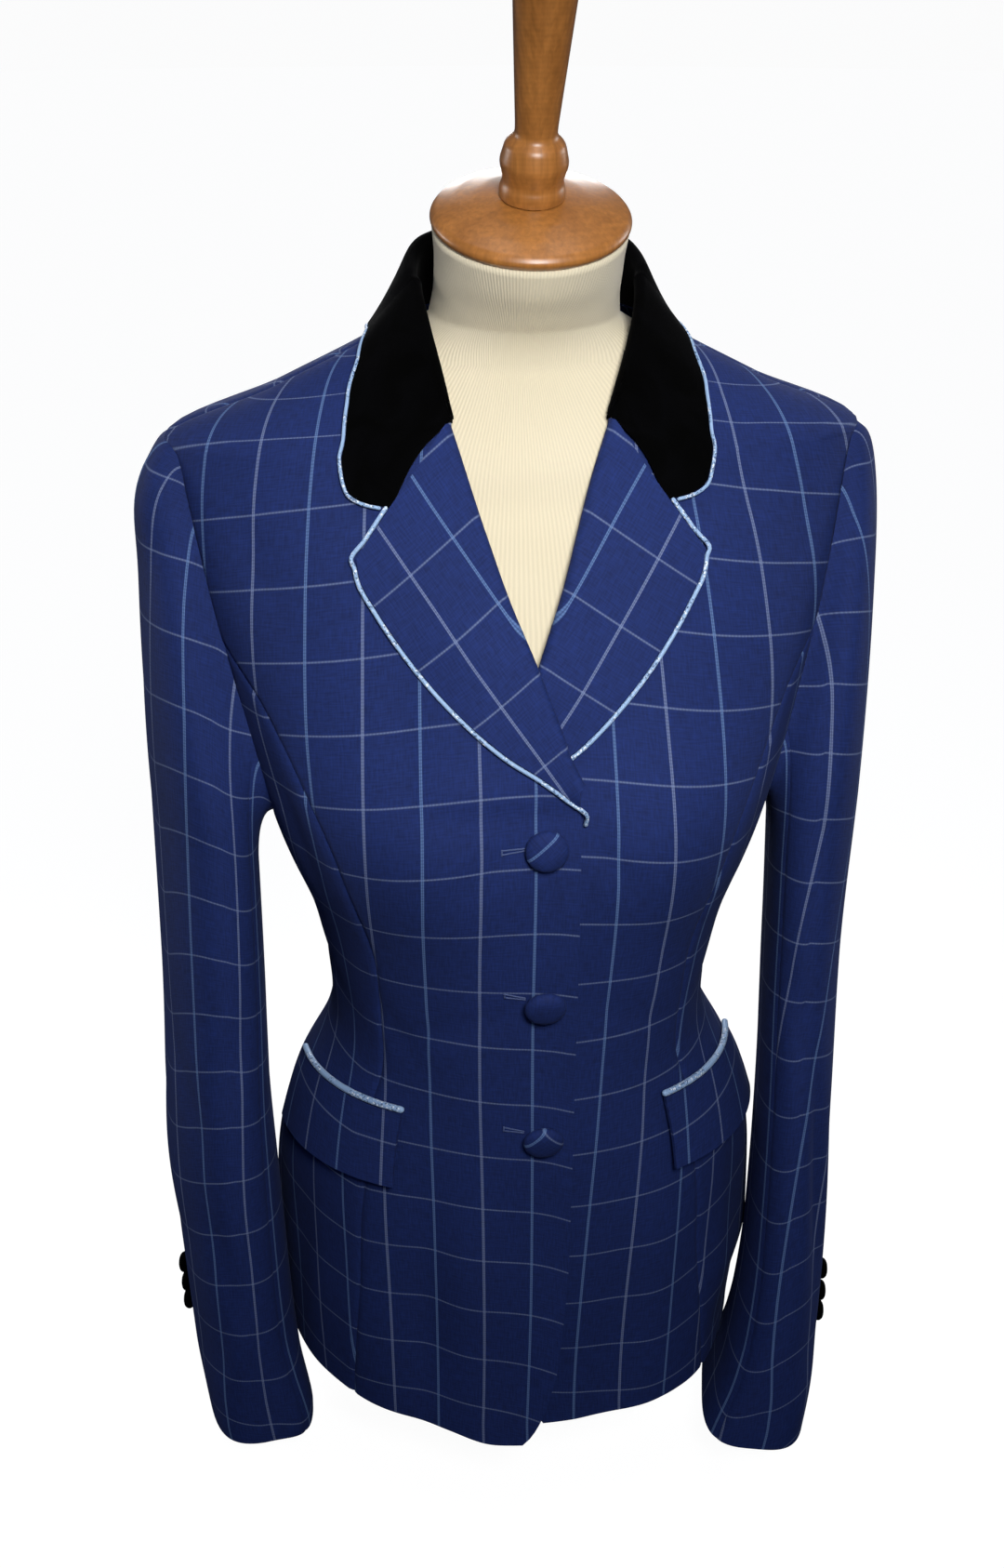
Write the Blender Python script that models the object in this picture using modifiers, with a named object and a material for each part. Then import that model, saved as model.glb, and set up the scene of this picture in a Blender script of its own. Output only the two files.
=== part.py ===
"""Riding show coat on a limbless dress form.

Metres, +Z up.  The origin is the middle of the base's underside, the front faces -Y and the
wearer's left is +X.  The body of the coat is one smooth surface through the rows of BODY, read at
an angle round the wearer (0 at the centre front, 180 degrees at the centre back) and a height.
Panels are cut from that surface between their seams, and what lies on a panel is made from its
points, moved out.  Every cloth piece is an open grid with a Solidify wall on its outer side.
"""

import math

import bmesh
import bpy
import numpy as np

COLLECTION = "riding_show_coat"


def table(columns, *rows):
    """Rows of numbers as one array for each named column; the first column rises."""
    return {name: np.array(values) for name, values in zip(columns.split(), zip(*rows))}


# Cloth and seams
WALL = 0.002
VELVET_WALL = 0.0018
SEAM_GAP = 0.0003
LYING_GAP = 0.0009
PIPING_RADIUS = 0.0013

# Heights above the floor
SHOULDER = 0.625
NECK = 0.684
PRINCESS_TOP = 0.534
BACK_SEAM_TOP = 0.545
VENT_TOP = 0.215

# Rows and columns of the panels' grids
SEAM_ROWS = 14
HOLE_ROWS = 5
SHOULDER_ROWS = 4
FRONT_COLUMNS = 12
SIDE_COLUMNS = 10
BACK_COLUMNS = 8

# The coat's body: one row for each level, depths from the plane through the shoulder seams
BODY = table(
    "height half_width front back side front_round back_round",
    (0.040, 0.146, -0.143, 0.104, 0.000, 2.2, 2.1),
    (0.115, 0.1455, -0.130, 0.097, -0.002, 2.2, 2.1),
    (0.185, 0.1440, -0.124, 0.088, -0.004, 2.1, 2.1),
    (0.245, 0.131, -0.121, 0.070, -0.006, 2.1, 2.0),
    (0.298, 0.1065, -0.119, 0.056, -0.008, 2.1, 2.0),
    (0.375, 0.1165, -0.122, 0.070, -0.005, 2.2, 2.1),
    (0.405, 0.1285, -0.1232, 0.0765, -0.0035, 2.25, 2.15),
    (0.435, 0.1375, -0.124, 0.082, -0.002, 2.3, 2.2),
    (0.505, 0.157, -0.107, 0.084, 0.002, 2.3, 2.3),
    (0.565, 0.172, -0.084, 0.082, 0.005, 2.2, 2.3),
    (0.625, 0.180, -0.053, 0.077, 0.008, 2.0, 2.3),
    (0.650, 0.125, -0.038, 0.072, 0.009, 2.0, 2.2),
    (0.684, 0.061, -0.022, 0.068, 0.010, 2.0, 2.0),
    (0.700, 0.046, -0.018, 0.066, 0.010, 2.0, 2.0),
)
LEVEL_BLEND = 0.014
LEVEL_BLEND_TOP = 0.600
LEVEL_BLEND_FADE = 0.050
BUST_FULLNESS = 0.010
BUST_FROM_CENTRE = 0.080
BUST_WIDTH = 0.048
BUST_LENGTH = 0.060
BUST_HEIGHT = 0.440
# The neck leans to the wearer's left, and the sleeve on that side presses the skirt in
NECK_SHIFT = 0.006
NECK_SHIFT_HEIGHTS = (0.600, 0.710)
PRESS_DEPTH = 0.0100
PRESS_FROM_CENTRE = (0.090, 0.145)
PRESS_HEIGHTS = (0.135, 0.085)
PRESS_BACK_TO_FRONT = (0.015, -0.045)

# Front edge of both fronts, from hem to neck: how far it stays from the centre line on its own side
OPENING = table(
    "height inset",
    (0.058, 0.012),
    (0.066, 0.004),
    (0.082, -0.004),
    (0.114, -0.012),
    (0.200, -0.018),
    (0.460, -0.0195),
    (0.474, -0.019),
    (0.495, -0.014),
    (0.530, -0.001),
    (0.574, 0.0165),
    (0.618, 0.031),
    (0.642, 0.040),
    (0.684, 0.059),
)
# How far the overlapping and the underlying front stand off the body at the centre
LAP = table("height over under", (0.06, 0.004, -0.006), (0.15, 0.002, -0.003), (0.27, 0.0013, -0.0013),
            (0.545, 0.0013, -0.0013), (0.585, 0.0, 0.0), (0.70, 0.0, 0.0))
LAP_INNER = 0.025
LAP_OUTER = 0.065
# Hem height by share of the way from the front edge to the princess seam
FRONT_HEM = table("share right left", (0.0, 0.060, 0.067), (0.12, 0.0605, 0.067), (0.4, 0.067, 0.069),
                  (0.65, 0.070, 0.0705), (1.0, 0.0705, 0.0705))
SIDE_HEM = 0.0705

# Seams, as angles round the wearer
PRINCESS = table(
    "height angle",
    (0.060, 45.5),
    (0.160, 41.6),
    (0.215, 42.0),
    (0.280, 48.5),
    (0.320, 48.0),
    (0.375, 44.8),
    (0.430, 45.7),
    (0.470, 49.9),
    (0.507, 56.9),
    (0.534, 69.0),
)
BACK_SEAM = table("height angle", (0.060, 122.0), (0.200, 126.0), (0.300, 132.0), (0.400, 128.0),
                  (0.480, 122.0), (0.545, 114.9))
ARMHOLE_HEIGHT = 0.193
ARMHOLE_FRONT = 21.0
ARMHOLE_BACK = 25.0
ARMHOLE_SQUARE = 0.22
VENT_OPEN = 0.8

# Lapel: roll line and outer edge, from the break at the front edge up to the gorge seam and the corner
LAPEL = table(
    "share roll_inset roll_height edge_inset edge_height",
    (0.00, -0.019, 0.477, -0.019, 0.4705),
    (0.12, -0.014, 0.495, -0.004, 0.4815),
    (0.28, -0.005, 0.520, 0.018, 0.496),
    (0.45, 0.005, 0.545, 0.043, 0.519),
    (0.60, 0.014, 0.568, 0.0615, 0.540),
    (0.75, 0.022, 0.592, 0.0750, 0.559),
    (0.90, 0.032, 0.622, 0.0838, 0.575),
    (1.00, 0.039, 0.641, 0.0850, 0.584),
)
LAPEL_ROLL_RISE = 0.0015
LEFT_LAPEL_START = 0.30
LEFT_LAPEL_CLEAR = 0.0025
LAPEL_COLUMNS = 6
NOTCH_COLUMN = 4

# Collar: fall edge and stand, from the centre back to the notch
COLLAR = table(
    "share edge_angle edge_height stand lean",
    (0.00, 180.0, 0.664, 0.036, 0.05),
    (0.25, 135.0, 0.668, 0.031, 0.05),
    (0.50, 90.0, 0.6745, 0.017, 0.22),
    (0.62, 61.5, 0.6660, 0.015, 0.16),
    (0.74, 42.5, 0.6485, 0.012, 0.05),
    (0.84, 30.8, 0.6300, 0.008, 0.0),
    (0.90, 29.2, 0.6190, 0.005, 0.0),
    (0.94, 27.8, 0.6120, 0.004, 0.0),
    (0.97, 25.2, 0.6082, 0.0035, 0.0),
    (1.00, 21.8, 0.6058, 0.003, 0.0),
)
GORGE_HEIGHT = 0.6415
FOLD_WIDTH = 0.004
FOOT_RISE = 0.0018
FREE_EDGE_RISE = 0.0018
FALL_ON_BODY = (0.70, 0.95)

# Pocket flaps: front and rear end of the top and bottom edges, as angles and heights
FLAP = table("down front_angle rear_angle front_height rear_height",
             (0.0, 36.6, 85.0, 0.274, 0.260), (1.0, 34.9, 81.0, 0.225, 0.214))
FLAP_FLARE = 0.003
FLAP_GAP = 0.0020
FLAP_PIPING_RADIUS = 0.0018
PIPING_LIFT = 0.0015
PIPING_SHORT = 0.0028
PIPING_CURL = table("inset height distance", (-0.0217, 0.4605, 0.0010), (-0.0217, 0.4662, 0.0040))
PIPING_CORNER = 0.8

# Sleeves: one row for each level below the cap; the wearer's left one hangs further forward
SLEEVE_COLUMNS = "height centre_x centre_y half_x half_y"
SLEEVES = {
    "right": table(
        SLEEVE_COLUMNS,
        (0.041, 0.1685, -0.059, 0.0285, 0.046),
        (0.075, 0.1735, -0.053, 0.0272, 0.047),
        (0.150, 0.1775, -0.043, 0.0265, 0.050),
        (0.245, 0.1790, -0.030, 0.0262, 0.054),
        (0.330, 0.1768, -0.016, 0.0257, 0.058),
        (0.425, 0.1755, -0.004, 0.0250, 0.062),
    ),
    "left": table(
        SLEEVE_COLUMNS,
        (0.040, 0.1400, -0.096, 0.0290, 0.046),
        (0.075, 0.1508, -0.086, 0.0252, 0.047),
        (0.150, 0.1606, -0.064, 0.0212, 0.050),
        (0.245, 0.1650, -0.042, 0.0202, 0.054),
        (0.330, 0.1676, -0.022, 0.0206, 0.058),
        (0.425, 0.1712, -0.006, 0.0235, 0.062),
    ),
}
SLEEVE_ROUND = 2.2
SLEEVE_TURN_IN = 12.0
FRONT_SLEEVE_SEAM = HOLE_ROWS + 2
HIND_SLEEVE_SEAM = HOLE_ROWS + SIDE_COLUMNS + 3
CAP_OUTWARD = 0.08
UNDERARM_DROP = 0.030
CAP_DROP = 0.62
CAP_RISE = 0.0026
UNDERARM_RISE = 0.0047
SLEEVE_TRIM = 0.0003
CAP_TRIM = 0.0030

# Buttons
BUTTON_DIAMETER = 0.022
BUTTON_THICKNESS = 0.0075
BUTTON_X = 0.002
# Height, tilt in degrees and how far the foot stands off the cloth, from the top down
BUTTONS = ((0.449, 6.0, -0.0006), (0.359, -16.0, 0.0024), (0.271, -14.0, 0.0021))
CUFF_BUTTON_DIAMETER = 0.013
CUFF_BUTTON_THICKNESS = 0.006
CUFF_BUTTON_HEIGHTS = (0.1125, 0.099, 0.0855)
# How far each row of cuff buttons lies in front of the hind seam, in degrees round the sleeve, and off the cloth
CUFF_BUTTON_TURN = {"left": 23.0, "right": 0.0}
CUFF_BUTTON_STAND_OFF = {"left": -0.0001, "right": 0.0006}

# Dress form: how far it stays inside the coat, then the rings of its leaning neck
FORM = table(
    "height clear clear_side",
    (0.0205, 0.064, 0.070),
    (0.045, 0.042, 0.046),
    (0.090, 0.026, 0.026),
    (0.185, 0.015, 0.017),
    (0.298, 0.009, 0.010),
    (0.375, 0.010, 0.010),
    (0.435, 0.008, 0.012),
    (0.505, 0.008, 0.020),
    (0.570, 0.008, 0.026),
    (0.605, 0.005, 0.012),
    (0.625, 0.0018, 0.0018),
    (0.650, 0.0022, 0.0022),
    (0.668, 0.0028, 0.0022),
)
FORM_BODY_HEIGHTS = np.linspace(0.240, 0.605, 9)
FORM_SHOULDER_HEIGHTS = (0.616, 0.625, 0.640, 0.655, 0.668)
FORM_LEVEL_TOP = 0.595
FORM_NECK = table(
    "height half_width half_depth centre_y lean",
    (0.684, 0.0490, 0.0430, 0.014, 3.0),
    (0.700, 0.0470, 0.0460, 0.008, 9.0),
    (0.714, 0.0470, 0.0475, 0.001, 14.0),
    (0.7305, 0.0485, 0.0485, -0.005, 18.5),
)
CAP_PROFILE = ((0.0170, 0.0140), (0.0280, 0.0125), (0.0390, 0.0100), (0.0470, 0.0070), (0.0495, 0.0040),
               (0.0490, 0.0015), (0.0470, 0.0))
FINIAL_PROFILE = ((0.0150, 0.176), (0.0190, 0.174), (0.0205, 0.167), (0.0102, 0.034), (0.0102, 0.030),
                  (0.0145, 0.026), (0.0168, 0.017), (0.0145, 0.008), (0.0162, 0.0045), (0.0160, 0.0))
FINIAL_SIDE_LEAN = 0.02
BASE_DIAMETER = 0.140
BASE_THICKNESS = 0.020
BASE_EDGE = 0.004


def smooth(rows, column, key):
    """A column at a key of the first column: a cubic through the rows that doesn't overshoot."""
    xs = rows[next(iter(rows))]
    ys = rows[column]
    steps = np.diff(xs)
    rises = np.diff(ys) / steps
    slopes = np.zeros_like(ys)
    slopes[0] = rises[0]
    slopes[-1] = rises[-1]
    same_way = rises[:-1] * rises[1:] > 0
    total = np.where(same_way, rises[:-1] + rises[1:], 1.0)
    slopes[1:-1] = np.where(same_way, 2 * rises[:-1] * rises[1:] / total, 0.0)
    key = np.clip(np.asarray(key, float), xs[0], xs[-1])
    i = np.clip(np.searchsorted(xs, key) - 1, 0, len(steps) - 1)
    t = (key - xs[i]) / steps[i]
    lower = (1 + 2 * t) * (1 - t) ** 2 * ys[i] + t * (1 - t) ** 2 * steps[i] * slopes[i]
    upper = t * t * (3 - 2 * t) * ys[i + 1] - t * t * (1 - t) * steps[i] * slopes[i + 1]
    return lower + upper


UP = np.array([0.0, 0.0, 1.0])


def units(vectors):
    return vectors / np.linalg.norm(vectors, axis=-1, keepdims=True)


def ease(share):
    """0 to 1 with flat ends."""
    share = np.clip(share, 0.0, 1.0)
    return share * share * (3 - 2 * share)


def level(column, height):
    """A column of BODY at a height, blended with what lies just above and below it."""
    near = LEVEL_BLEND * ease((LEVEL_BLEND_TOP - height) / LEVEL_BLEND_FADE)
    ends = smooth(BODY, column, height - near) + smooth(BODY, column, height + near)
    return ends / 4 + smooth(BODY, column, height) / 2


def body(angle, height):
    """The inner face of the coat's body at an angle (radians) and a height."""
    angle, height = np.broadcast_arrays(np.asarray(angle, float), np.asarray(height, float))
    across = np.sin(angle)
    along = np.cos(angle)
    in_front = along > 0
    power = 2 / np.where(in_front, level("front_round", height), level("back_round", height))
    x = level("half_width", height) * np.sign(across) * np.abs(across) ** power
    side = level("side", height)
    depth = np.where(in_front, level("front", height), level("back", height)) - side
    bust = ((np.abs(x) - BUST_FROM_CENTRE) / BUST_WIDTH) ** 2 + ((height - BUST_HEIGHT) / BUST_LENGTH) ** 2
    fullness = BUST_FULLNESS * np.exp(-bust) * np.clip(3 * along, 0, 1)
    y = side + depth * np.abs(along) ** power - fullness
    return np.stack([x, y, height], -1)


def out(angle, height, distance):
    """A point of the body moved out along its normal."""
    step = 1e-3
    round_it = body(angle + step, height) - body(angle - step, height)
    up_it = body(angle, height + step) - body(angle, height - step)
    normal = units(np.cross(round_it, up_it))
    return body(angle, height) + normal * np.asarray(distance)[..., None]


def angle_at(x, height):
    """The angle of a place on the coat's front that lies x from the centre line."""
    share = np.clip(np.abs(x) / level("half_width", height), 0, 1)
    return np.sign(x) * np.arcsin(share ** (level("front_round", height) / 2))


def lap(inset, height, side):
    """How far a front stands off the body near the centre, where the wearer's right laps over."""
    fade = 1 - ease((np.abs(inset) - LAP_INNER) / (LAP_OUTER - LAP_INNER))
    return fade * smooth(LAP, "over" if side == "right" else "under", height)


def settle(points, press=False):
    """Points as they hang in the end: the leaning neck and, if asked, the skirt that the sleeve presses."""
    points = np.array(points, float)
    height = points[..., 2]
    low, high = NECK_SHIFT_HEIGHTS
    shift = NECK_SHIFT * ease((height - low) / (high - low))
    if press:
        inner, outer = PRESS_FROM_CENTRE
        high, low = PRESS_HEIGHTS
        behind, before = PRESS_BACK_TO_FRONT
        shift = shift - PRESS_DEPTH * ease((points[..., 0] - inner) / (outer - inner)) \
            * ease((high - height) / (high - low)) * ease((behind - points[..., 1]) / (behind - before))
    points[..., 0] += shift
    return points


def on_front(inset, height, side, distance):
    """A point that lies on a front, in the wearer's-left frame, distance out from its inner face."""
    return out(angle_at(inset, height), height, distance + lap(inset, height, side))


def armhole(turn):
    """Angle and height of the armhole at a turn: 0 at the shoulder, 90 degrees at the front."""
    spread = np.where(np.sin(turn) > 0, ARMHOLE_FRONT, ARMHOLE_BACK)
    sweep = spread * np.abs(np.sin(turn)) ** ARMHOLE_SQUARE * np.sign(np.sin(turn))
    height = SHOULDER - ARMHOLE_HEIGHT / 2 * (1 - np.cos(turn))
    return np.radians(90 - sweep), height


def armhole_turn(height):
    """The turn, on the front half, at which the armhole passes a height."""
    return np.arccos(np.clip(1 - 2 * (SHOULDER - np.asarray(height)) / ARMHOLE_HEIGHT, -1, 1))


def vent(height):
    """Half the opening angle of a back vent."""
    return math.radians(VENT_OPEN) * ease((VENT_TOP - height) / (VENT_TOP - SIDE_HEM))


def outer_seam(rows, top, half):
    """Angle by height of a panel's outer edge: seam, then armhole, then shoulder seam."""
    def angle(height):
        seam = np.radians(smooth(rows, "angle", height))
        hole = armhole(half * armhole_turn(height))[0]
        return np.where(height < top, seam, np.where(height < SHOULDER - 1e-6, hole, math.pi / 2))
    return angle


front_seam = outer_seam(PRINCESS, PRINCESS_TOP, 1)
back_seam = outer_seam(BACK_SEAM, BACK_SEAM_TOP, -1)
FRONT_TURNS = np.linspace(armhole_turn(PRINCESS_TOP), 0, HOLE_ROWS + 1)
BACK_TURNS = np.linspace(armhole_turn(BACK_SEAM_TOP), 0, HOLE_ROWS + 1)
SIDE_TURNS = np.linspace(FRONT_TURNS[0], 2 * math.pi - BACK_TURNS[0], SIDE_COLUMNS + 1)
SLEEVE_TURNS = np.concatenate([FRONT_TURNS[::-1], SIDE_TURNS[1:], 2 * math.pi - BACK_TURNS[1:]])


def panel_heights(hem, seam_top, turns):
    """Heights of a panel's rows at its outer edge: up the seam, the armhole and the shoulder."""
    seam = np.linspace(hem, seam_top, SEAM_ROWS + 1)
    hole = armhole(turns[1:])[1]
    shoulder = np.linspace(SHOULDER, NECK, SHOULDER_ROWS + 1)[1:]
    return np.concatenate([seam, hole, shoulder])


def trim(points, left=0.0, right=0.0, bottom=0.0, top=0.0):
    """Draw a grid's edges in along their own columns and rows."""
    points = points.copy()
    for edge, inner, amount in ((0, 1, left), (-1, -2, right)):
        points[:, edge] += amount * units(points[:, inner] - points[:, edge])
    for edge, inner, amount in ((0, 1, bottom), (-1, -2, top)):
        points[edge] += amount * units(points[inner] - points[edge])
    return points


def front_points(side):
    share = np.linspace(0, 1, FRONT_COLUMNS + 1)
    hem = smooth(FRONT_HEM, side, share)
    up = (panel_heights(hem[-1], PRINCESS_TOP, FRONT_TURNS) - hem[-1]) / (NECK - hem[-1])
    height = hem + up[:, None] * (NECK - hem)
    inner = angle_at(smooth(OPENING, "inset", height), height)
    angle = inner + share * (front_seam(height) - inner)
    inset = np.sin(angle) * level("half_width", height)
    points = out(angle, height, lap(inset, height, side))
    return trim(points, right=SEAM_GAP / 2)


def side_points():
    share = np.linspace(0, 1, SIDE_COLUMNS + 1)
    top_angle, top_height = armhole(SIDE_TURNS)

    def across(height):
        start = np.radians(smooth(PRINCESS, "angle", height))
        end = np.radians(smooth(BACK_SEAM, "angle", height)) - vent(height)
        return start, end - start

    start, width = across(top_height)
    top_share = (top_angle - start) / width
    up = np.linspace(0, 1, SEAM_ROWS + 1)[:, None]
    height = SIDE_HEM + up * (top_height - SIDE_HEM)
    start, width = across(height)
    angle = start + (share + up ** 2 * (top_share - share)) * width
    return trim(out(angle, height, np.zeros_like(angle)), left=SEAM_GAP / 2, right=SEAM_GAP / 2)


def back_points():
    share = np.linspace(0, 1, BACK_COLUMNS + 1)
    height = panel_heights(SIDE_HEM, BACK_SEAM_TOP, BACK_TURNS)[:, None] + 0 * share
    seam = back_seam(height) + vent(height)
    angle = seam + share * (math.pi - seam)
    points = out(angle, height, np.zeros_like(angle))
    return trim(points, left=SEAM_GAP / 2, right=SEAM_GAP / 2)


def lapel_points(side, rows=11):
    share = np.linspace(LEFT_LAPEL_START if side == "left" else 0, 1, rows + 1)
    roll_height = smooth(LAPEL, "roll_height", share)
    roll_inset = smooth(LAPEL, "roll_inset", share)
    edge_height = smooth(LAPEL, "edge_height", share)
    if side == "left":
        roll_inset = np.maximum(roll_inset, LEFT_LAPEL_CLEAR - smooth(OPENING, "inset", edge_height))
    over = np.linspace(0, 1, LAPEL_COLUMNS + 1)
    inset = roll_inset[:, None] + over * (smooth(LAPEL, "edge_inset", share) - roll_inset)[:, None]
    height = roll_height[:, None] + over * (edge_height - roll_height)[:, None]
    distance = WALL + LYING_GAP + LAPEL_ROLL_RISE * (1 - over) ** 2 + 0 * inset
    points = on_front(inset, height, side, distance)
    return trim(points, top=3 * SEAM_GAP)


def collar_half(stations=18, fall=4):
    """Sections of the collar from the centre back to the wearer's left notch: stand, fold, fall."""
    share = np.linspace(0, 1, stations + 1)
    forward = ease(np.clip(2 * share - 1, 0, 1))
    neck_height = NECK + (GORGE_HEIGHT - NECK) * forward
    neck_front = angle_at(smooth(OPENING, "inset", neck_height), neck_height)
    neck_angle = np.where(share < 0.5, math.pi + 2 * share * (neck_front - math.pi), neck_front)
    seam = out(neck_angle, neck_height, FOOT_RISE * forward)
    inward = units((np.array([0.0, 0.02, 0.0]) - seam) * (1, 1, 0))
    stand = smooth(COLLAR, "stand", share)[:, None]
    foot = seam + (inward * 2 + UP) * SEAM_GAP
    top = foot + stand * (UP + smooth(COLLAR, "lean", share)[:, None] * inward)
    fold = np.minimum(FOLD_WIDTH, 0.6 * stand)
    outer = top - inward * fold
    sections = [foot, foot + 0.6 * (top - foot), top, top - inward * fold / 2 + UP * fold / 2]
    edge_angle = np.radians(smooth(COLLAR, "edge_angle", share))
    edge_height = smooth(COLLAR, "edge_height", share)
    lying = ease((share - FALL_ON_BODY[0]) / (FALL_ON_BODY[1] - FALL_ON_BODY[0]))[:, None]
    edge = out(edge_angle, edge_height, WALL + LYING_GAP + FREE_EDGE_RISE * (1 - lying[:, 0]))
    for step in range(fall + 1):
        over = step / fall
        distance = WALL + LYING_GAP + LAPEL_ROLL_RISE * (1 - over) ** 2 + 0 * share
        on_body = out(neck_angle + over * (edge_angle - neck_angle),
                      neck_height + over * (edge_height - neck_height), distance)
        free = outer + over * (edge - outer)
        sections.append(free + lying * (on_body - free))
    return np.stack(sections, 1)


def collar_points():
    half = collar_half()
    other = half[:0:-1] * np.array([-1, 1, 1])
    whole = np.concatenate([other, half])
    return trim(np.swapaxes(whole, 0, 1), left=SEAM_GAP, right=SEAM_GAP)


def flap_points(columns=7, rows=3):
    across = np.linspace(0, 1, columns + 1)
    down = np.linspace(0, 1, rows + 1)[:, None]
    front = smooth(FLAP, "front_angle", down)
    height = smooth(FLAP, "front_height", down)
    angle = np.radians(front + across * (smooth(FLAP, "rear_angle", down) - front))
    height = height + across * (smooth(FLAP, "rear_height", down) - height)
    distance = WALL + FLAP_GAP + FLAP_FLARE * down ** 2 * (1 - 0.5 * across)
    return out(angle, height, distance)[::-1]


def sleeve_ring(rows, turn, height):
    """A point of a sleeve's tube: turn 0 is the outer side, 90 degrees the front."""
    power = 2 / SLEEVE_ROUND
    x = smooth(rows, "half_x", height) * np.sign(np.cos(turn)) * np.abs(np.cos(turn)) ** power
    y = -smooth(rows, "half_y", height) * np.sign(np.sin(turn)) * np.abs(np.sin(turn)) ** power
    turn_in = math.radians(SLEEVE_TURN_IN)
    return np.stack([
        smooth(rows, "centre_x", height) + x * math.cos(turn_in) + y * math.sin(turn_in),
        smooth(rows, "centre_y", height) - x * math.sin(turn_in) + y * math.cos(turn_in),
        height + 0 * turn,
    ], -1)


def sleeve_points(side, turn, cap=6, tube=12):
    """A sleeve piece from the armhole down to the cuff, between two seams."""
    rows = SLEEVES[side]
    underarm = ease((1 - np.cos(turn)) / 2) ** 3
    angle, height = armhole(turn)
    start = out(angle, height, CAP_RISE + (UNDERARM_RISE - CAP_RISE) * underarm)
    towards = np.array([0.0, 0.0, SHOULDER - ARMHOLE_HEIGHT / 2]) - start
    towards[:, 0] = 0
    start += units(towards) * 2 * SEAM_GAP * (1 - underarm)[:, None]
    top = rows["height"][-1] - UNDERARM_DROP * underarm
    end = sleeve_ring(rows, turn, top)
    span = np.linalg.norm(end - start, axis=1, keepdims=True)
    leave = start + span * CAP_OUTWARD * np.array([1.0, 0, 0])
    arrive = end + span * CAP_DROP * UP
    grid = []
    for t in np.linspace(0, 1, cap + 1):
        grid.append((1 - t) ** 3 * start + 3 * t * (1 - t) ** 2 * leave + 3 * t * t * (1 - t) * arrive
                    + t ** 3 * end)
    for height in np.linspace(top, np.full_like(turn, rows["height"][0]), tube + 1)[1:]:
        grid.append(sleeve_ring(rows, turn, height))
    amount = SLEEVE_TRIM + CAP_TRIM * np.linspace(1, 1 - len(grid) / cap, len(grid)).clip(0)[:, None]
    return trim(np.stack(grid), left=amount, right=amount)


def beside(points, radius):
    """Where a piping lies along the last row of a grid."""
    along = units(np.gradient(points[-1], axis=0))
    normal = units(np.cross(along, points[-1] - points[-2]))
    outward = np.cross(normal, along)
    return points[-1] + outward * (radius + 1.5 * SEAM_GAP) + normal * PIPING_LIFT


def shorten(line):
    """A line with both ends drawn in."""
    line = line.copy()
    line[[0, -1]] += PIPING_SHORT * units(line[[1, -2]] - line[[0, -1]])
    return line


def lapel_line(side, points):
    """The lapel's piping: from the break up the outer edge, round the corner and in to the notch."""
    outer = beside(np.swapaxes(points, 0, 1)[:, ::-1], PIPING_RADIUS)[::-1]
    notch = beside(points, PIPING_RADIUS)[:NOTCH_COLUMN - 1:-1]
    corner = outer[-1] + notch[0] - points[-1, -1]
    corner = points[-1, -1] + PIPING_CORNER * (corner - points[-1, -1])
    line = shorten(np.concatenate([outer[:-1], [corner], notch[1:]]))
    if side == "left":
        return line
    curl = on_front(PIPING_CURL["inset"], PIPING_CURL["height"], side, PIPING_CURL["distance"])
    return np.concatenate([curl, line[1:]])


def form_rings(sides=32):
    angle = np.radians(np.arange(sides) * 360 / sides)
    rings = []
    for height in np.concatenate([FORM["height"][:4], FORM_BODY_HEIGHTS, FORM_SHOULDER_HEIGHTS]):
        clear = smooth(FORM, "clear", height)
        extra = smooth(FORM, "clear_side", height) - clear
        ring = out(angle, np.full_like(angle, height), -(clear + extra * np.sin(angle) ** 4))
        if height < FORM_LEVEL_TOP:
            ring[:, 2] = height
        rings.append(ring)
    for height in FORM_NECK["height"]:
        lean = math.radians(float(smooth(FORM_NECK, "lean", height)))
        across = smooth(FORM_NECK, "half_width", height) * np.sin(angle)
        along = -smooth(FORM_NECK, "half_depth", height) * np.cos(angle)
        rings.append(np.column_stack([
            across,
            smooth(FORM_NECK, "centre_y", height) + along * math.cos(lean),
            height + along * math.sin(lean),
        ]))
    return settle(np.stack(rings))


def material(name, colour, roughness):
    made = bpy.data.materials.new(name)
    made.use_nodes = True
    shader = made.node_tree.nodes["Principled BSDF"]
    shader.inputs["Base Color"].default_value = (*colour, 1)
    shader.inputs["Roughness"].default_value = roughness
    shader.inputs["Metallic"].default_value = 0.0
    return made


def place(name, data, finish):
    made = bpy.data.objects.new(name, data)
    data.materials.append(finish)
    bpy.data.collections[COLLECTION].objects.link(made)
    return made


def cloth(name, points, finish, wall=WALL, mirrored=False, press=False):
    """A grid of points as a piece of cloth with its wall on the outer side."""
    if mirrored:
        points = points[:, ::-1] * np.array([-1, 1, 1])
    points = settle(points, press)
    rows, columns = points.shape[0] - 1, points.shape[1] - 1
    mesh = bmesh.new()
    bmesh.ops.create_grid(mesh, x_segments=columns, y_segments=rows, size=0.5)
    for vertex in mesh.verts:
        column = round((vertex.co.x + 0.5) * columns)
        row = round((vertex.co.y + 0.5) * rows)
        vertex.co = points[row, column]
    data = bpy.data.meshes.new(name)
    mesh.to_mesh(data)
    mesh.free()
    data.shade_smooth()
    made = place(name, data, finish)
    shell = made.modifiers.new("wall", "SOLIDIFY")
    shell.thickness = wall
    shell.offset = 1.0
    return made


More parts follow.
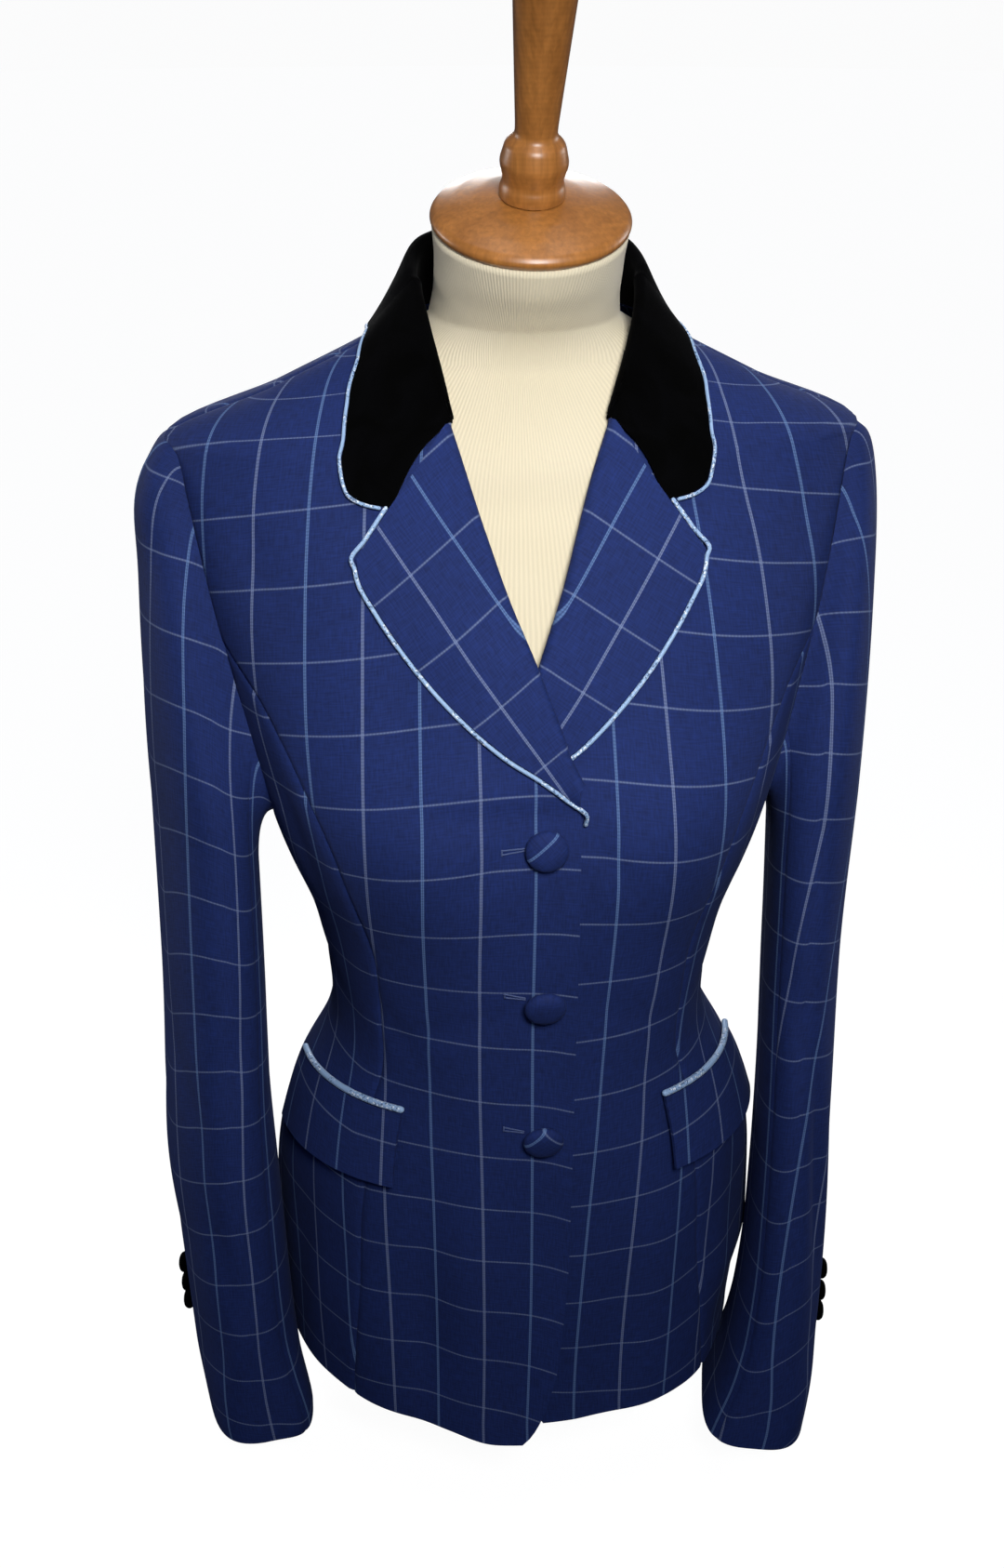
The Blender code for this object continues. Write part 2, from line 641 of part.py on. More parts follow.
def piping(name, points, finish, radius=PIPING_RADIUS, mirrored=False, press=False):
    """A tube of covered cord through points."""
    data = bpy.data.curves.new(name, "CURVE")
    data.dimensions = "3D"
    data.bevel_depth = radius
    data.bevel_resolution = 1
    data.use_fill_caps = True
    spline = data.splines.new("POLY")
    spline.points.add(len(points) - 1)
    points = settle(points * np.array([-1 if mirrored else 1, 1, 1]), press)
    for knot, point in zip(spline.points, points):
        knot.co = (*point, 1)
    return place(name, data, finish)


def turned(name, profile, steps, finish):
    """A profile of (radius, height) from top to bottom, turned about Z."""
    mesh = bmesh.new()
    knots = [mesh.verts.new((radius, 0, height)) for radius, height in profile]
    for upper, lower in zip(knots, knots[1:]):
        mesh.edges.new((upper, lower))
    top = mesh.verts.new((0, 0, profile[0][1]))
    foot = mesh.verts.new((0, 0, profile[-1][1]))
    mesh.edges.new((top, knots[0]))
    mesh.edges.new((knots[-1], foot))
    data = bpy.data.meshes.new(name)
    mesh.to_mesh(data)
    mesh.free()
    made = place(name, data, finish)
    lathe = made.modifiers.new("turn", "SCREW")
    lathe.steps = steps
    lathe.render_steps = steps
    lathe.use_merge_vertices = True
    lathe.merge_threshold = 1e-5
    return made


def stand_along(made, foot, axis):
    """Put a turned piece's foot at a point with its axis along a direction."""
    up = units(np.asarray(axis))
    made.rotation_mode = "XYZ"
    made.rotation_euler = (0, math.acos(up[2]), math.atan2(up[1], up[0]))
    made.location = foot


def button_profile(diameter, thickness):
    radius = diameter / 2
    return ((0.45 * radius, thickness), (0.8 * radius, 0.8 * thickness), (radius, 0.42 * thickness),
            (0.93 * radius, 0.18 * thickness), (0.7 * radius, 0.0))


def button(name, point, normal, diameter, thickness, finish, steps):
    made = turned(name, button_profile(diameter, thickness), steps, finish)
    stand_along(made, point + normal * SEAM_GAP, normal)


for old in list(bpy.data.objects):
    bpy.data.objects.remove(old, do_unlink=True)
bpy.context.scene.collection.children.link(bpy.data.collections.new(COLLECTION))

wool = material("navy windowpane wool", (0.012, 0.024, 0.105), 0.85)
velvet = material("black velvet", (0.003, 0.003, 0.004), 0.95)
satin = material("pale blue printed piping", (0.28, 0.40, 0.55), 0.6)
covered = material("self covered button", (0.010, 0.018, 0.070), 0.7)
black = material("black velvet button", (0.004, 0.004, 0.006), 0.9)
jersey = material("cream cotton jersey", (0.80, 0.72, 0.56), 0.9)
wood = material("varnished beech", (0.33, 0.15, 0.05), 0.35)

# Body panels, lapels, flaps and sleeves, left then right
for side in ("left", "right"):
    mirrored = side == "right"
    press = side == "left"
    cloth(f"front_{side}", front_points(side), wool, mirrored=mirrored, press=press)
    cloth(f"side_{side}", side_points(), wool, mirrored=mirrored, press=press)
    cloth(f"back_{side}", back_points(), wool, mirrored=mirrored, press=press)
    lapel = lapel_points(side)
    cloth(f"lapel_{side}", lapel, wool, mirrored=mirrored)
    piping(f"lapel_piping_{side}", lapel_line(side, lapel), satin, mirrored=mirrored)
    flap = flap_points()
    cloth(f"pocket_flap_{side}", flap, wool, mirrored=mirrored, press=press)
    piping(f"pocket_piping_{side}", beside(flap, FLAP_PIPING_RADIUS), satin, FLAP_PIPING_RADIUS, mirrored,
           press)
    hind = SLEEVE_TURNS[HIND_SLEEVE_SEAM:] - 2 * math.pi
    top_turns = np.concatenate([hind[:-1], SLEEVE_TURNS[:FRONT_SLEEVE_SEAM + 1]])
    under_turns = SLEEVE_TURNS[FRONT_SLEEVE_SEAM:HIND_SLEEVE_SEAM + 1]
    cloth(f"sleeve_top_{side}", sleeve_points(side, top_turns), wool, mirrored=mirrored)
    cloth(f"sleeve_under_{side}", sleeve_points(side, under_turns), wool, mirrored=mirrored)

# Velvet collar
collar = collar_points()
cloth("collar", collar, velvet, wall=VELVET_WALL)
piping("collar_piping", shorten(beside(collar, PIPING_RADIUS)), satin)

# Front buttons on the overlapping front, each hanging a little on its shank
for number, (height, tilt, stand_off) in enumerate(BUTTONS, 1):
    angle = angle_at(BUTTON_X, height)
    point = out(angle, height, WALL + float(lap(BUTTON_X, height, "right")))
    lean = math.radians(tilt)
    normal = np.array([0.0, -math.cos(lean), math.sin(lean)])
    button(f"front_button_{number}", point + normal * stand_off, normal, BUTTON_DIAMETER, BUTTON_THICKNESS,
           covered, 16)

# Cuff buttons beside each hind seam
hind_turn = SLEEVE_TURNS[HIND_SLEEVE_SEAM]
for side, sign in (("left", 1), ("right", -1)):
    for number, height in enumerate(CUFF_BUTTON_HEIGHTS, 1):
        turn = hind_turn + np.radians(CUFF_BUTTON_TURN[side] + np.array([-8.0, 0.0, 8.0]))
        before, point, after = sleeve_ring(SLEEVES[side], turn, np.full(3, height))
        normal = units(np.cross(after - before, -UP))
        flip = np.array([sign, 1, 1])
        foot = point + normal * (WALL + CUFF_BUTTON_STAND_OFF[side])
        button(f"cuff_button_{side}_{number}", foot * flip, normal * flip, CUFF_BUTTON_DIAMETER,
               CUFF_BUTTON_THICKNESS, black, 12)

# Dress form
rings = form_rings()
levels, sides = rings.shape[:2]
shape = bmesh.new()
knots = [[shape.verts.new(point) for point in ring] for ring in rings]
for lower, upper in zip(knots, knots[1:]):
    for i in range(sides):
        j = (i + 1) % sides
        shape.faces.new((lower[i], lower[j], upper[j], upper[i]))
shape.faces.new(knots[0][::-1])
shape.faces.new(knots[-1])
data = bpy.data.meshes.new("form_torso")
shape.to_mesh(data)
shape.free()
data.shade_smooth()
place("form_torso", data, jersey)

lean = math.radians(float(FORM_NECK["lean"][-1]))
neck_axis = np.array([0, -math.sin(lean), math.cos(lean)])
neck_top = settle([0.0, FORM_NECK["centre_y"][-1], FORM_NECK["height"][-1]])
cap = turned("form_neck_cap", CAP_PROFILE, 28, wood)
stand_along(cap, neck_top + neck_axis * SEAM_GAP, neck_axis)
finial = turned("form_finial", FINIAL_PROFILE, 24, wood)
stand_along(finial, neck_top + neck_axis * (3 * SEAM_GAP + CAP_PROFILE[0][1]),
            neck_axis + np.array([FINIAL_SIDE_LEAN, 0, 0]))
radius = BASE_DIAMETER / 2
turned("form_base", ((radius - BASE_EDGE, BASE_THICKNESS), (radius, BASE_THICKNESS - BASE_EDGE),
                     (radius, BASE_EDGE / 4), (radius - BASE_EDGE / 4, 0.0)), 32, wood)
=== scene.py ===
"""Riding show coat on a dress form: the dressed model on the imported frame.

Metres, +Z up, the coat's front faces -Y and the wearer's left is +X.  The body of the coat is read
at an angle round the wearer (0 at the centre front) and a height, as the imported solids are.
"""

import math

import bmesh
import bpy
import numpy as np
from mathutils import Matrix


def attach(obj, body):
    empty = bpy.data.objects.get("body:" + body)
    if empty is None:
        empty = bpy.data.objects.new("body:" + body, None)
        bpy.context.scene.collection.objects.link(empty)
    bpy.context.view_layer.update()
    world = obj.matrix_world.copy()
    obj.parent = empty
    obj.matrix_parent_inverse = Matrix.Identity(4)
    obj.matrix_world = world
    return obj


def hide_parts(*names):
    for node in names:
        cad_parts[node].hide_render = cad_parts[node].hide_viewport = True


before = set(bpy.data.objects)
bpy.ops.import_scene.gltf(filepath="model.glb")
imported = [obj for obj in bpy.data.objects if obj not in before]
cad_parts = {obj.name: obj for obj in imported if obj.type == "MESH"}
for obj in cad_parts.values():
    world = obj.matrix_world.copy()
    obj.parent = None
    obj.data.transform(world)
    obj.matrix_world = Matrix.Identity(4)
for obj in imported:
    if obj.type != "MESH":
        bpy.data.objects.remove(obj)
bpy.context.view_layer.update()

# Camera
# Stands in front of the coat a little above the shoulders and looks down its length, so that
# the neck of the form is near and the hem is far and small.
lens = bpy.data.cameras.new("camera")
lens.sensor_fit = "VERTICAL"
lens.sensor_height = 36.0
lens.lens = 39.42
lens.clip_start = 0.02
camera = bpy.data.objects.new("camera", lens)
camera.location = (-0.0961, -0.8693, 0.8598)
camera.rotation_euler = (math.radians(63.48), 0.0, math.radians(-5.82))
bpy.context.scene.collection.objects.link(camera)
bpy.context.scene.camera = camera

# Torso of the dress form
# A padded and sewn body with no limbs, covered in cream cotton jersey that is ribbed up the neck.
# It follows the inside of the coat a few millimetres away, so the coat's own body comes first.


def table(columns, *rows):
    """Rows of numbers as one array for each named column; the first column rises."""
    return {name: np.array(values) for name, values in zip(columns.split(), zip(*rows))}


def smooth(rows, column, key):
    """A column at a key of the first column: a cubic through the rows that doesn't overshoot."""
    xs = rows[next(iter(rows))]
    ys = rows[column]
    steps = np.diff(xs)
    rises = np.diff(ys) / steps
    slopes = np.zeros_like(ys)
    slopes[0] = rises[0]
    slopes[-1] = rises[-1]
    same_way = rises[:-1] * rises[1:] > 0
    total = np.where(same_way, rises[:-1] + rises[1:], 1.0)
    slopes[1:-1] = np.where(same_way, 2 * rises[:-1] * rises[1:] / total, 0.0)
    key = np.clip(np.asarray(key, float), xs[0], xs[-1])
    i = np.clip(np.searchsorted(xs, key) - 1, 0, len(steps) - 1)
    t = (key - xs[i]) / steps[i]
    lower = (1 + 2 * t) * (1 - t) ** 2 * ys[i] + t * (1 - t) ** 2 * steps[i] * slopes[i]
    upper = t * t * (3 - 2 * t) * ys[i + 1] - t * t * (1 - t) * steps[i] * slopes[i + 1]
    return lower + upper


def units(vectors):
    return vectors / np.linalg.norm(vectors, axis=-1, keepdims=True)


def ease(share):
    """0 to 1 with flat ends."""
    share = np.clip(share, 0.0, 1.0)
    return share * share * (3 - 2 * share)


UP = np.array([0.0, 0.0, 1.0])
MIRROR = np.array([-1.0, 1.0, 1.0])
BODY = table(
    "height half_width front back side front_round back_round",
    (0.040, 0.146, -0.143, 0.104, 0.000, 2.2, 2.1),
    (0.115, 0.1455, -0.130, 0.097, -0.002, 2.2, 2.1),
    (0.185, 0.1440, -0.124, 0.088, -0.004, 2.1, 2.1),
    (0.245, 0.131, -0.121, 0.070, -0.006, 2.1, 2.0),
    (0.298, 0.1065, -0.119, 0.056, -0.008, 2.1, 2.0),
    (0.375, 0.1165, -0.122, 0.070, -0.005, 2.2, 2.1),
    (0.405, 0.1285, -0.1232, 0.0765, -0.0035, 2.25, 2.15),
    (0.435, 0.1375, -0.124, 0.082, -0.002, 2.3, 2.2),
    (0.505, 0.157, -0.107, 0.084, 0.002, 2.3, 2.3),
    (0.565, 0.172, -0.084, 0.082, 0.005, 2.2, 2.3),
    (0.625, 0.180, -0.053, 0.077, 0.008, 2.0, 2.3),
    (0.650, 0.125, -0.038, 0.072, 0.009, 2.0, 2.2),
    (0.684, 0.061, -0.022, 0.068, 0.010, 2.0, 2.0),
    (0.700, 0.046, -0.018, 0.066, 0.010, 2.0, 2.0),
)


def level(column, height):
    """A column of BODY at a height, blended with what lies just above and below it."""
    near = 0.014 * ease((0.600 - height) / 0.050)
    ends = smooth(BODY, column, height - near) + smooth(BODY, column, height + near)
    return ends / 4 + smooth(BODY, column, height) / 2


BUST_X, BUST_HEIGHT, BUST_FULLNESS = 0.080, 0.440, 0.010


def body(angle, height):
    """The inner face of the coat's body at an angle (radians) and a height, with its bust."""
    angle, height = np.broadcast_arrays(np.asarray(angle, float), np.asarray(height, float))
    across, along = np.sin(angle), np.cos(angle)
    in_front = along > 0
    power = 2 / np.where(in_front, level("front_round", height), level("back_round", height))
    x = level("half_width", height) * np.sign(across) * np.abs(across) ** power
    side = level("side", height)
    depth = np.where(in_front, level("front", height), level("back", height)) - side
    bust = ((np.abs(x) - BUST_X) / 0.048) ** 2 + ((height - BUST_HEIGHT) / 0.060) ** 2
    fullness = BUST_FULLNESS * np.exp(-bust) * np.clip(3 * along, 0, 1)
    return np.stack([x, side + depth * np.abs(along) ** power - fullness, height], -1)


def out(angle, height, distance):
    """A point of the body moved out along its normal."""
    step = 1e-3
    round_it = body(angle + step, height) - body(angle - step, height)
    up_it = body(angle, height + step) - body(angle, height - step)
    return body(angle, height) + units(np.cross(round_it, up_it)) * np.asarray(distance)[..., None]


NECK_SHIFT = 0.006
SLEEVE_PRESS = 0.0100


def settle(points, press=False):
    """Points as they hang in the end: the leaning neck and the skirt that the left sleeve presses in."""
    points = np.array(points, float)
    height = points[..., 2]
    shift = NECK_SHIFT * ease((height - 0.600) / 0.110)
    if press:
        beside_it = ease((points[..., 0] - 0.090) / 0.055) * ease((0.015 - points[..., 1]) / 0.060)
        shift = shift - SLEEVE_PRESS * beside_it * ease((0.135 - height) / 0.050)
    points[..., 0] += shift
    return points


def linear(code):
    """An sRGB hex colour as linear RGBA."""
    parts = [int(code[i:i + 2], 16) / 255 for i in (1, 3, 5)]
    return (*[p / 12.92 if p <= 0.04045 else ((p + 0.055) / 1.055) ** 2.4 for p in parts], 1.0)


def node(tree, kind, links=None, **settings):
    """Add a shader node with its settings; each link is an input and a socket or a value for it."""
    made = tree.nodes.new(kind)
    for name, value in settings.items():
        setattr(made, name, value)
    for name, value in (links or {}).items():
        if isinstance(value, bpy.types.NodeSocket):
            tree.links.new(value, made.inputs[name])
        else:
            made.inputs[name].default_value = value
    return made


def new_material(name):
    """A new material with its node tree and shader."""
    made = bpy.data.materials.new(name)
    made.use_nodes = True
    return made, made.node_tree, made.node_tree.nodes["Principled BSDF"]


def new_mesh(name, points, faces, finish):
    """A smooth mesh object at the origin."""
    data = bpy.data.meshes.new(name)
    data.from_pydata([tuple(p) for p in np.reshape(points, (-1, 3))], [], faces)
    data.materials.append(finish)
    data.shade_smooth()
    made = bpy.data.objects.new(name, data)
    bpy.context.scene.collection.objects.link(made)
    return made


def grid_faces(rows, columns, closed=False):
    """Faces of a grid of points, whose rows may close into rings."""
    faces = []
    for r in range(rows - 1):
        for c in range(columns if closed else columns - 1):
            d = (c + 1) % columns
            faces.append((r * columns + c, r * columns + d, (r + 1) * columns + d, (r + 1) * columns + c))
    return faces


# Cotton jersey, knitted: cream, matt, with fine upright ribs drawn 1.6 mm apart; their hollows are darkened
# in colour as painted shade so that they show
RIBS_ROUND = 190.0
jersey, tree, shader = new_material("cream cotton jersey")
place = node(tree, "ShaderNodeTexCoord").outputs["Object"]
split = node(tree, "ShaderNodeSeparateXYZ", {0: place}).outputs
turn = node(tree, "ShaderNodeMath", {0: split["X"], 1: split["Y"]}, operation="ARCTAN2").outputs[0]
ribs = node(tree, "ShaderNodeMath", {0: turn, 1: RIBS_ROUND}, operation="MULTIPLY").outputs[0]
rib = node(tree, "ShaderNodeMath", {0: ribs}, operation="SINE").outputs[0]
fluff = node(tree, "ShaderNodeTexNoise", {"Vector": place, "Scale": 900.0, "Detail": 3.0}).outputs["Fac"]
stain = node(tree, "ShaderNodeTexNoise", {"Vector": place, "Scale": 9.0, "Detail": 2.0}).outputs["Fac"]
tone = node(tree, "ShaderNodeMix", {0: stain, 6: linear("#E6DBC2"), 7: linear("#DCCFAE")},
            data_type="RGBA").outputs[2]
# Painted shade: the colour is darkened by up to a tenth in each rib's hollow
shade = node(tree, "ShaderNodeMapRange", {"Value": rib, "From Min": -1.0, "To Min": 0.90, "To Max": 1.0})
tone = node(tree, "ShaderNodeMix", {0: 1.0, 6: tone, 7: shade.outputs[0]}, data_type="RGBA",
            blend_type="MULTIPLY").outputs[2]
relief = node(tree, "ShaderNodeMath", {0: fluff, 1: 0.6, 2: rib}, operation="MULTIPLY_ADD").outputs[0]
bump = node(tree, "ShaderNodeBump", {"Height": relief, "Strength": 0.35, "Distance": 0.0003}).outputs[0]
tree.links.new(tone, shader.inputs["Base Color"])
tree.links.new(bump, shader.inputs["Normal"])
shader.inputs["Roughness"].default_value = 0.9
shader.inputs["Sheen Weight"].default_value = 0.15
shader.inputs["Sheen Roughness"].default_value = 0.5

FORM = table(
    "height clear clear_side",
    (0.0205, 0.064, 0.070), (0.045, 0.042, 0.046), (0.090, 0.026, 0.026), (0.185, 0.015, 0.017),
    (0.298, 0.009, 0.010), (0.375, 0.010, 0.010), (0.435, 0.008, 0.012), (0.505, 0.008, 0.020),
    (0.570, 0.008, 0.026), (0.605, 0.005, 0.012), (0.625, 0.0018, 0.0055), (0.650, 0.0022, 0.0055),
    (0.668, 0.0028, 0.0055),
)
NECK_FOOT = 0.684
NECK_TOP = (0.0, -0.005, 0.7305)
NECK_LEAN = 18.5
NECK_RINGS = table(
    "height half_width half_depth centre_y lean",
    (NECK_FOOT, 0.0490, 0.0430, 0.014, 3.0),
    (0.700, 0.0470, 0.0460, 0.008, 9.0),
    (0.714, 0.0470, 0.0475, 0.001, 14.0),
    (NECK_TOP[2], 0.0485, 0.0485, NECK_TOP[1], NECK_LEAN),
)
FORM_SIDES = 120
angle = np.radians(np.arange(FORM_SIDES) * 360 / FORM_SIDES)
rings = []
for height in np.concatenate([np.linspace(0.0205, 0.605, 90), np.linspace(0.610, 0.668, 14)]):
    clear = smooth(FORM, "clear", height)
    extra = smooth(FORM, "clear_side", height) - clear
    ring = out(angle, np.full_like(angle, height), -(clear + extra * np.sin(angle) ** 4))
    ring[:, 2] += (height - ring[:, 2]) * ease((0.606 - height) / 0.011)
    rings.append(ring)
for height in np.linspace(NECK_FOOT, NECK_TOP[2], 12):
    lean = math.radians(float(smooth(NECK_RINGS, "lean", height)))
    along = -smooth(NECK_RINGS, "half_depth", height) * np.cos(angle)
    rings.append(np.column_stack([
        smooth(NECK_RINGS, "half_width", height) * np.sin(angle),
        smooth(NECK_RINGS, "centre_y", height) + along * math.cos(lean),
        height + along * math.sin(lean),
    ]))
rings = settle(np.stack(rings))
faces = grid_faces(len(rings), FORM_SIDES, closed=True)
faces.append(tuple(range(FORM_SIDES))[::-1])
faces.append(tuple(range((len(rings) - 1) * FORM_SIDES, len(rings) * FORM_SIDES)))
torso = new_mesh("dress_form_torso", rings, faces, jersey)
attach(torso, "root")
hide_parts("form_torso")

# Turned wood of the dress form
# A round base, a cap that closes the neck and a tall finial, each turned on a lathe from beech
# and varnished honey brown; a screw down the middle holds them to the torso.

# Varnished beech, turned and sanded: long grain, faint tool rings and a satin coat over the wood
beech, tree, shader = new_material("varnished beech")
place = node(tree, "ShaderNodeTexCoord").outputs["Object"]
grain_place = node(tree, "ShaderNodeMapping", {"Vector": place, "Scale": (1.0, 1.0, 0.09)}).outputs[0]
grain = node(tree, "ShaderNodeTexNoise", {"Vector": grain_place, "Scale": 420.0, "Detail": 5.0,
                                          "Distortion": 0.6}).outputs["Fac"]
figure = node(tree, "ShaderNodeTexNoise", {"Vector": grain_place, "Scale": 60.0, "Detail": 3.0,
                                           "Distortion": 1.2}).outputs["Fac"]
rings_wave = node(tree, "ShaderNodeTexWave", {"Vector": place, "Scale": 140.0, "Distortion": 1.5,
                                              "Detail": 2.0, "Detail Scale": 2.0},
                  bands_direction="Z").outputs["Fac"]
brown = node(tree, "ShaderNodeMix", {0: figure, 6: linear("#8E5824"), 7: linear("#C3813E")},
             data_type="RGBA").outputs[2]
flecks = node(tree, "ShaderNodeMapRange", {"Value": grain, "From Min": 0.35, "From Max": 0.65, "To Min": 0.80,
                                           "To Max": 1.06}).outputs[0]
brown = node(tree, "ShaderNodeMix", {0: 1.0, 6: brown, 7: flecks}, data_type="RGBA",
             blend_type="MULTIPLY").outputs[2]
tool = node(tree, "ShaderNodeMapRange", {"Value": rings_wave, "To Min": 0.93, "To Max": 1.0}).outputs[0]
brown = node(tree, "ShaderNodeMix", {0: 1.0, 6: brown, 7: tool}, data_type="RGBA",
             blend_type="MULTIPLY").outputs[2]
gloss = node(tree, "ShaderNodeMapRange", {"Value": grain, "To Min": 0.30, "To Max": 0.46}).outputs[0]
bump = node(tree, "ShaderNodeBump", {"Height": grain, "Strength": 0.12, "Distance": 0.0004}).outputs[0]
tree.links.new(brown, shader.inputs["Base Color"])
tree.links.new(gloss, shader.inputs["Roughness"])
tree.links.new(bump, shader.inputs["Normal"])
shader.inputs["Coat Weight"].default_value = 0.25
shader.inputs["Coat Roughness"].default_value = 0.25


def stand_on(made, foot, axis):
    """Turn a piece that was modelled upright onto an axis that leaves its foot, and apply its place."""
    lean = units(np.asarray(axis, float))
    made.rotation_euler = (0, math.acos(lean[2]), math.atan2(lean[1], lean[0]))
    made.location = foot
    bpy.ops.object.transform_apply(location=True, rotation=True, scale=True)


def turned(name, profile, steps, foot, axis, finish, bevel):
    """Spin a profile of (radius, height), top to bottom, about an axis that leaves its foot."""
    bpy.ops.object.select_all(action="DESELECT")
    bpy.ops.mesh.primitive_plane_add(size=0.01, location=(0, 0, 0))
    made = bpy.context.object
    made.name = name
    shape = bmesh.new()
    knots = [shape.verts.new((radius, 0, height)) for radius, height in
             [(0.0, profile[0][1]), *profile, (0.0, profile[-1][1])]]
    for upper, lower in zip(knots, knots[1:]):
        shape.edges.new((upper, lower))
    bmesh.ops.bevel(shape, geom=knots[2:-2], offset=bevel, segments=3, profile=0.5, affect="VERTICES")
    shape.to_mesh(made.data)
    shape.free()
    bpy.ops.object.mode_set(mode="EDIT")
    bpy.ops.mesh.select_all(action="SELECT")
    bpy.ops.mesh.spin(steps=steps, angle=2 * math.pi, center=(0, 0, 0), axis=(0, 0, 1))
    bpy.ops.mesh.select_all(action="SELECT")
    bpy.ops.mesh.remove_doubles(threshold=2e-5)
    bpy.ops.mesh.normals_make_consistent(inside=False)
    bpy.ops.object.mode_set(mode="OBJECT")
    stand_on(made, foot, axis)
    made.data.materials.clear()
    made.data.materials.append(finish)
    bpy.ops.object.shade_smooth_by_angle(angle=math.radians(40))
    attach(made, "root")
    return made


lean = math.radians(NECK_LEAN)
neck_axis = np.array([0, -math.sin(lean), math.cos(lean)])
neck_top = settle(NECK_TOP)
CAP_PROFILE = ((0.0170, 0.0140), (0.0280, 0.0125), (0.0390, 0.0100), (0.0470, 0.0070), (0.0495, 0.0040),
               (0.0490, 0.0015), (0.0470, 0.0))
cap = turned("neck_cap", CAP_PROFILE, 96, neck_top + neck_axis * 0.0003, neck_axis, beech, 0.0012)
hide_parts("form_neck_cap")
FINIAL_PROFILE = ((0.0150, 0.176), (0.0190, 0.174), (0.0205, 0.167), (0.0102, 0.034), (0.0102, 0.030),
                  (0.0145, 0.026), (0.0168, 0.017), (0.0145, 0.008), (0.0162, 0.0045), (0.0160, 0.0))
finial = turned("neck_finial", FINIAL_PROFILE, 72, neck_top + neck_axis * 0.0149,
                neck_axis + np.array([0.02, 0, 0]), beech, 0.0018)
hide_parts("form_finial")
BASE_PROFILE = ((0.066, 0.020), (0.070, 0.016), (0.070, 0.001), (0.069, 0.0))
base = turned("base", BASE_PROFILE, 96, (0, 0, 0), UP, beech, 0.0015)
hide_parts("form_base")

# Fronts
# Two front panels of navy wool suiting with a windowpane check, cut on the straight grain.  The
# wearer's right one laps over the left, and each is sewn to its side panel down the princess seam.
WALL = 0.002
NECK = 0.684
SHOULDER = 0.625
ARMHOLE_DEPTH = 0.193
WAIST = 0.30
PRINCESS_TOP = 0.534
OPENING = table(
    "height inset",
    (0.058, 0.012), (0.066, 0.004), (0.082, -0.004), (0.114, -0.012), (0.200, -0.018), (0.460, -0.0195),
    (0.474, -0.019), (0.495, -0.014), (0.530, -0.001), (0.574, 0.0165), (0.618, 0.031), (0.642, 0.040),
    (0.684, 0.059),
)
LAP = table("height over under", (0.06, 0.004, -0.006), (0.15, 0.002, -0.003), (0.27, 0.0013, -0.0013),
            (0.545, 0.0013, -0.0013), (0.585, 0.0, 0.0), (0.70, 0.0, 0.0))
FRONT_HEM = table("share right left", (0.0, 0.060, 0.067), (0.12, 0.0605, 0.067), (0.4, 0.067, 0.069),
                  (0.65, 0.070, 0.0705), (1.0, 0.0705, 0.0705))
PRINCESS = table(
    "height angle",
    (0.060, 45.5), (0.160, 41.6), (0.215, 42.0), (0.280, 48.5), (0.320, 48.0), (0.375, 44.8), (0.430, 45.7),
    (0.470, 49.9), (0.507, 56.9), (0.534, 69.0),
)
# Where the threads run: how far the cloth's own width and length are from plain arc lengths, in mm, as
# terms of three powers of the way round by five powers of the height
GRAIN = {
    "right": ((-7.7, -2.9, 8.9, 6.7, -1.9, -8.3, -2.8, 6.7, 3.9, 3.8, -4.2, -0.2, 0.0, 1.0, -0.1),
              (-207.2, 1.0, -21.3, 7.0, 4.6, 9.7, -1.3, -1.4, 2.8, 1.0, 7.5, -5.5, 5.6, -5.0, 4.8)),
    "left": ((-40.9, -11.7, 21.7, 12.2, -3.5, -9.9, -5.9, 6.4, 6.1, 6.7, -6.1, -9.2, 0.1, 0.6, 3.8),
             (-206.0, -11.2, -22.2, 11.7, 6.6, 5.9, 8.2, 0.8, -1.1, 3.6, 0.9, 6.3, -5.0, 2.0, 0.0)),
}
# How far the cross threads sink at the overlapping edge
EDGE_SINK = table("height sink", (0.08, 0.0015), (0.20, 0.0042), (0.27, 0.0050), (0.33, 0.0025), (0.40, 0.0))
# Creases of each front: arc from the centre front and height of both ends, half width, depth
FRONT_CREASES = {
    "right": ((0.060, 0.235, 0.066, 0.075, 0.014, -0.0030), (0.036, 0.200, 0.040, 0.070, 0.016, 0.0022),
              (0.098, 0.220, 0.100, 0.075, 0.020, 0.0030), (0.010, 0.455, 0.048, 0.420, 0.008, -0.0012),
              (0.012, 0.352, 0.075, 0.322, 0.010, -0.0014), (0.060, 0.300, 0.095, 0.345, 0.009, -0.0012),
              (0.150, 0.610, 0.128, 0.550, 0.012, -0.0016)),
    "left": ((0.052, 0.230, 0.046, 0.080, 0.015, -0.0022), (0.078, 0.210, 0.074, 0.075, 0.017, 0.0026),
             (0.024, 0.455, 0.052, 0.418, 0.007, -0.0013), (0.030, 0.350, 0.085, 0.318, 0.011, -0.0015),
             (0.105, 0.646, 0.116, 0.590, 0.011, -0.0018), (0.155, 0.612, 0.132, 0.552, 0.012, -0.0015)),
}


def angle_at(x, height):
    """The angle of a place on the coat's front that lies x from the centre line."""
    share = np.clip(np.abs(x) / level("half_width", height), 0, 1)
    return np.sign(x) * np.arcsin(share ** (level("front_round", height) / 2))


# How far the overlapping front lifts over the lapels' crossing and at its edge, and the one below sinks
ROLL_LIFT, EDGE_LIFT, UNDER_SINK = 0.0031, 0.0012, 0.0014


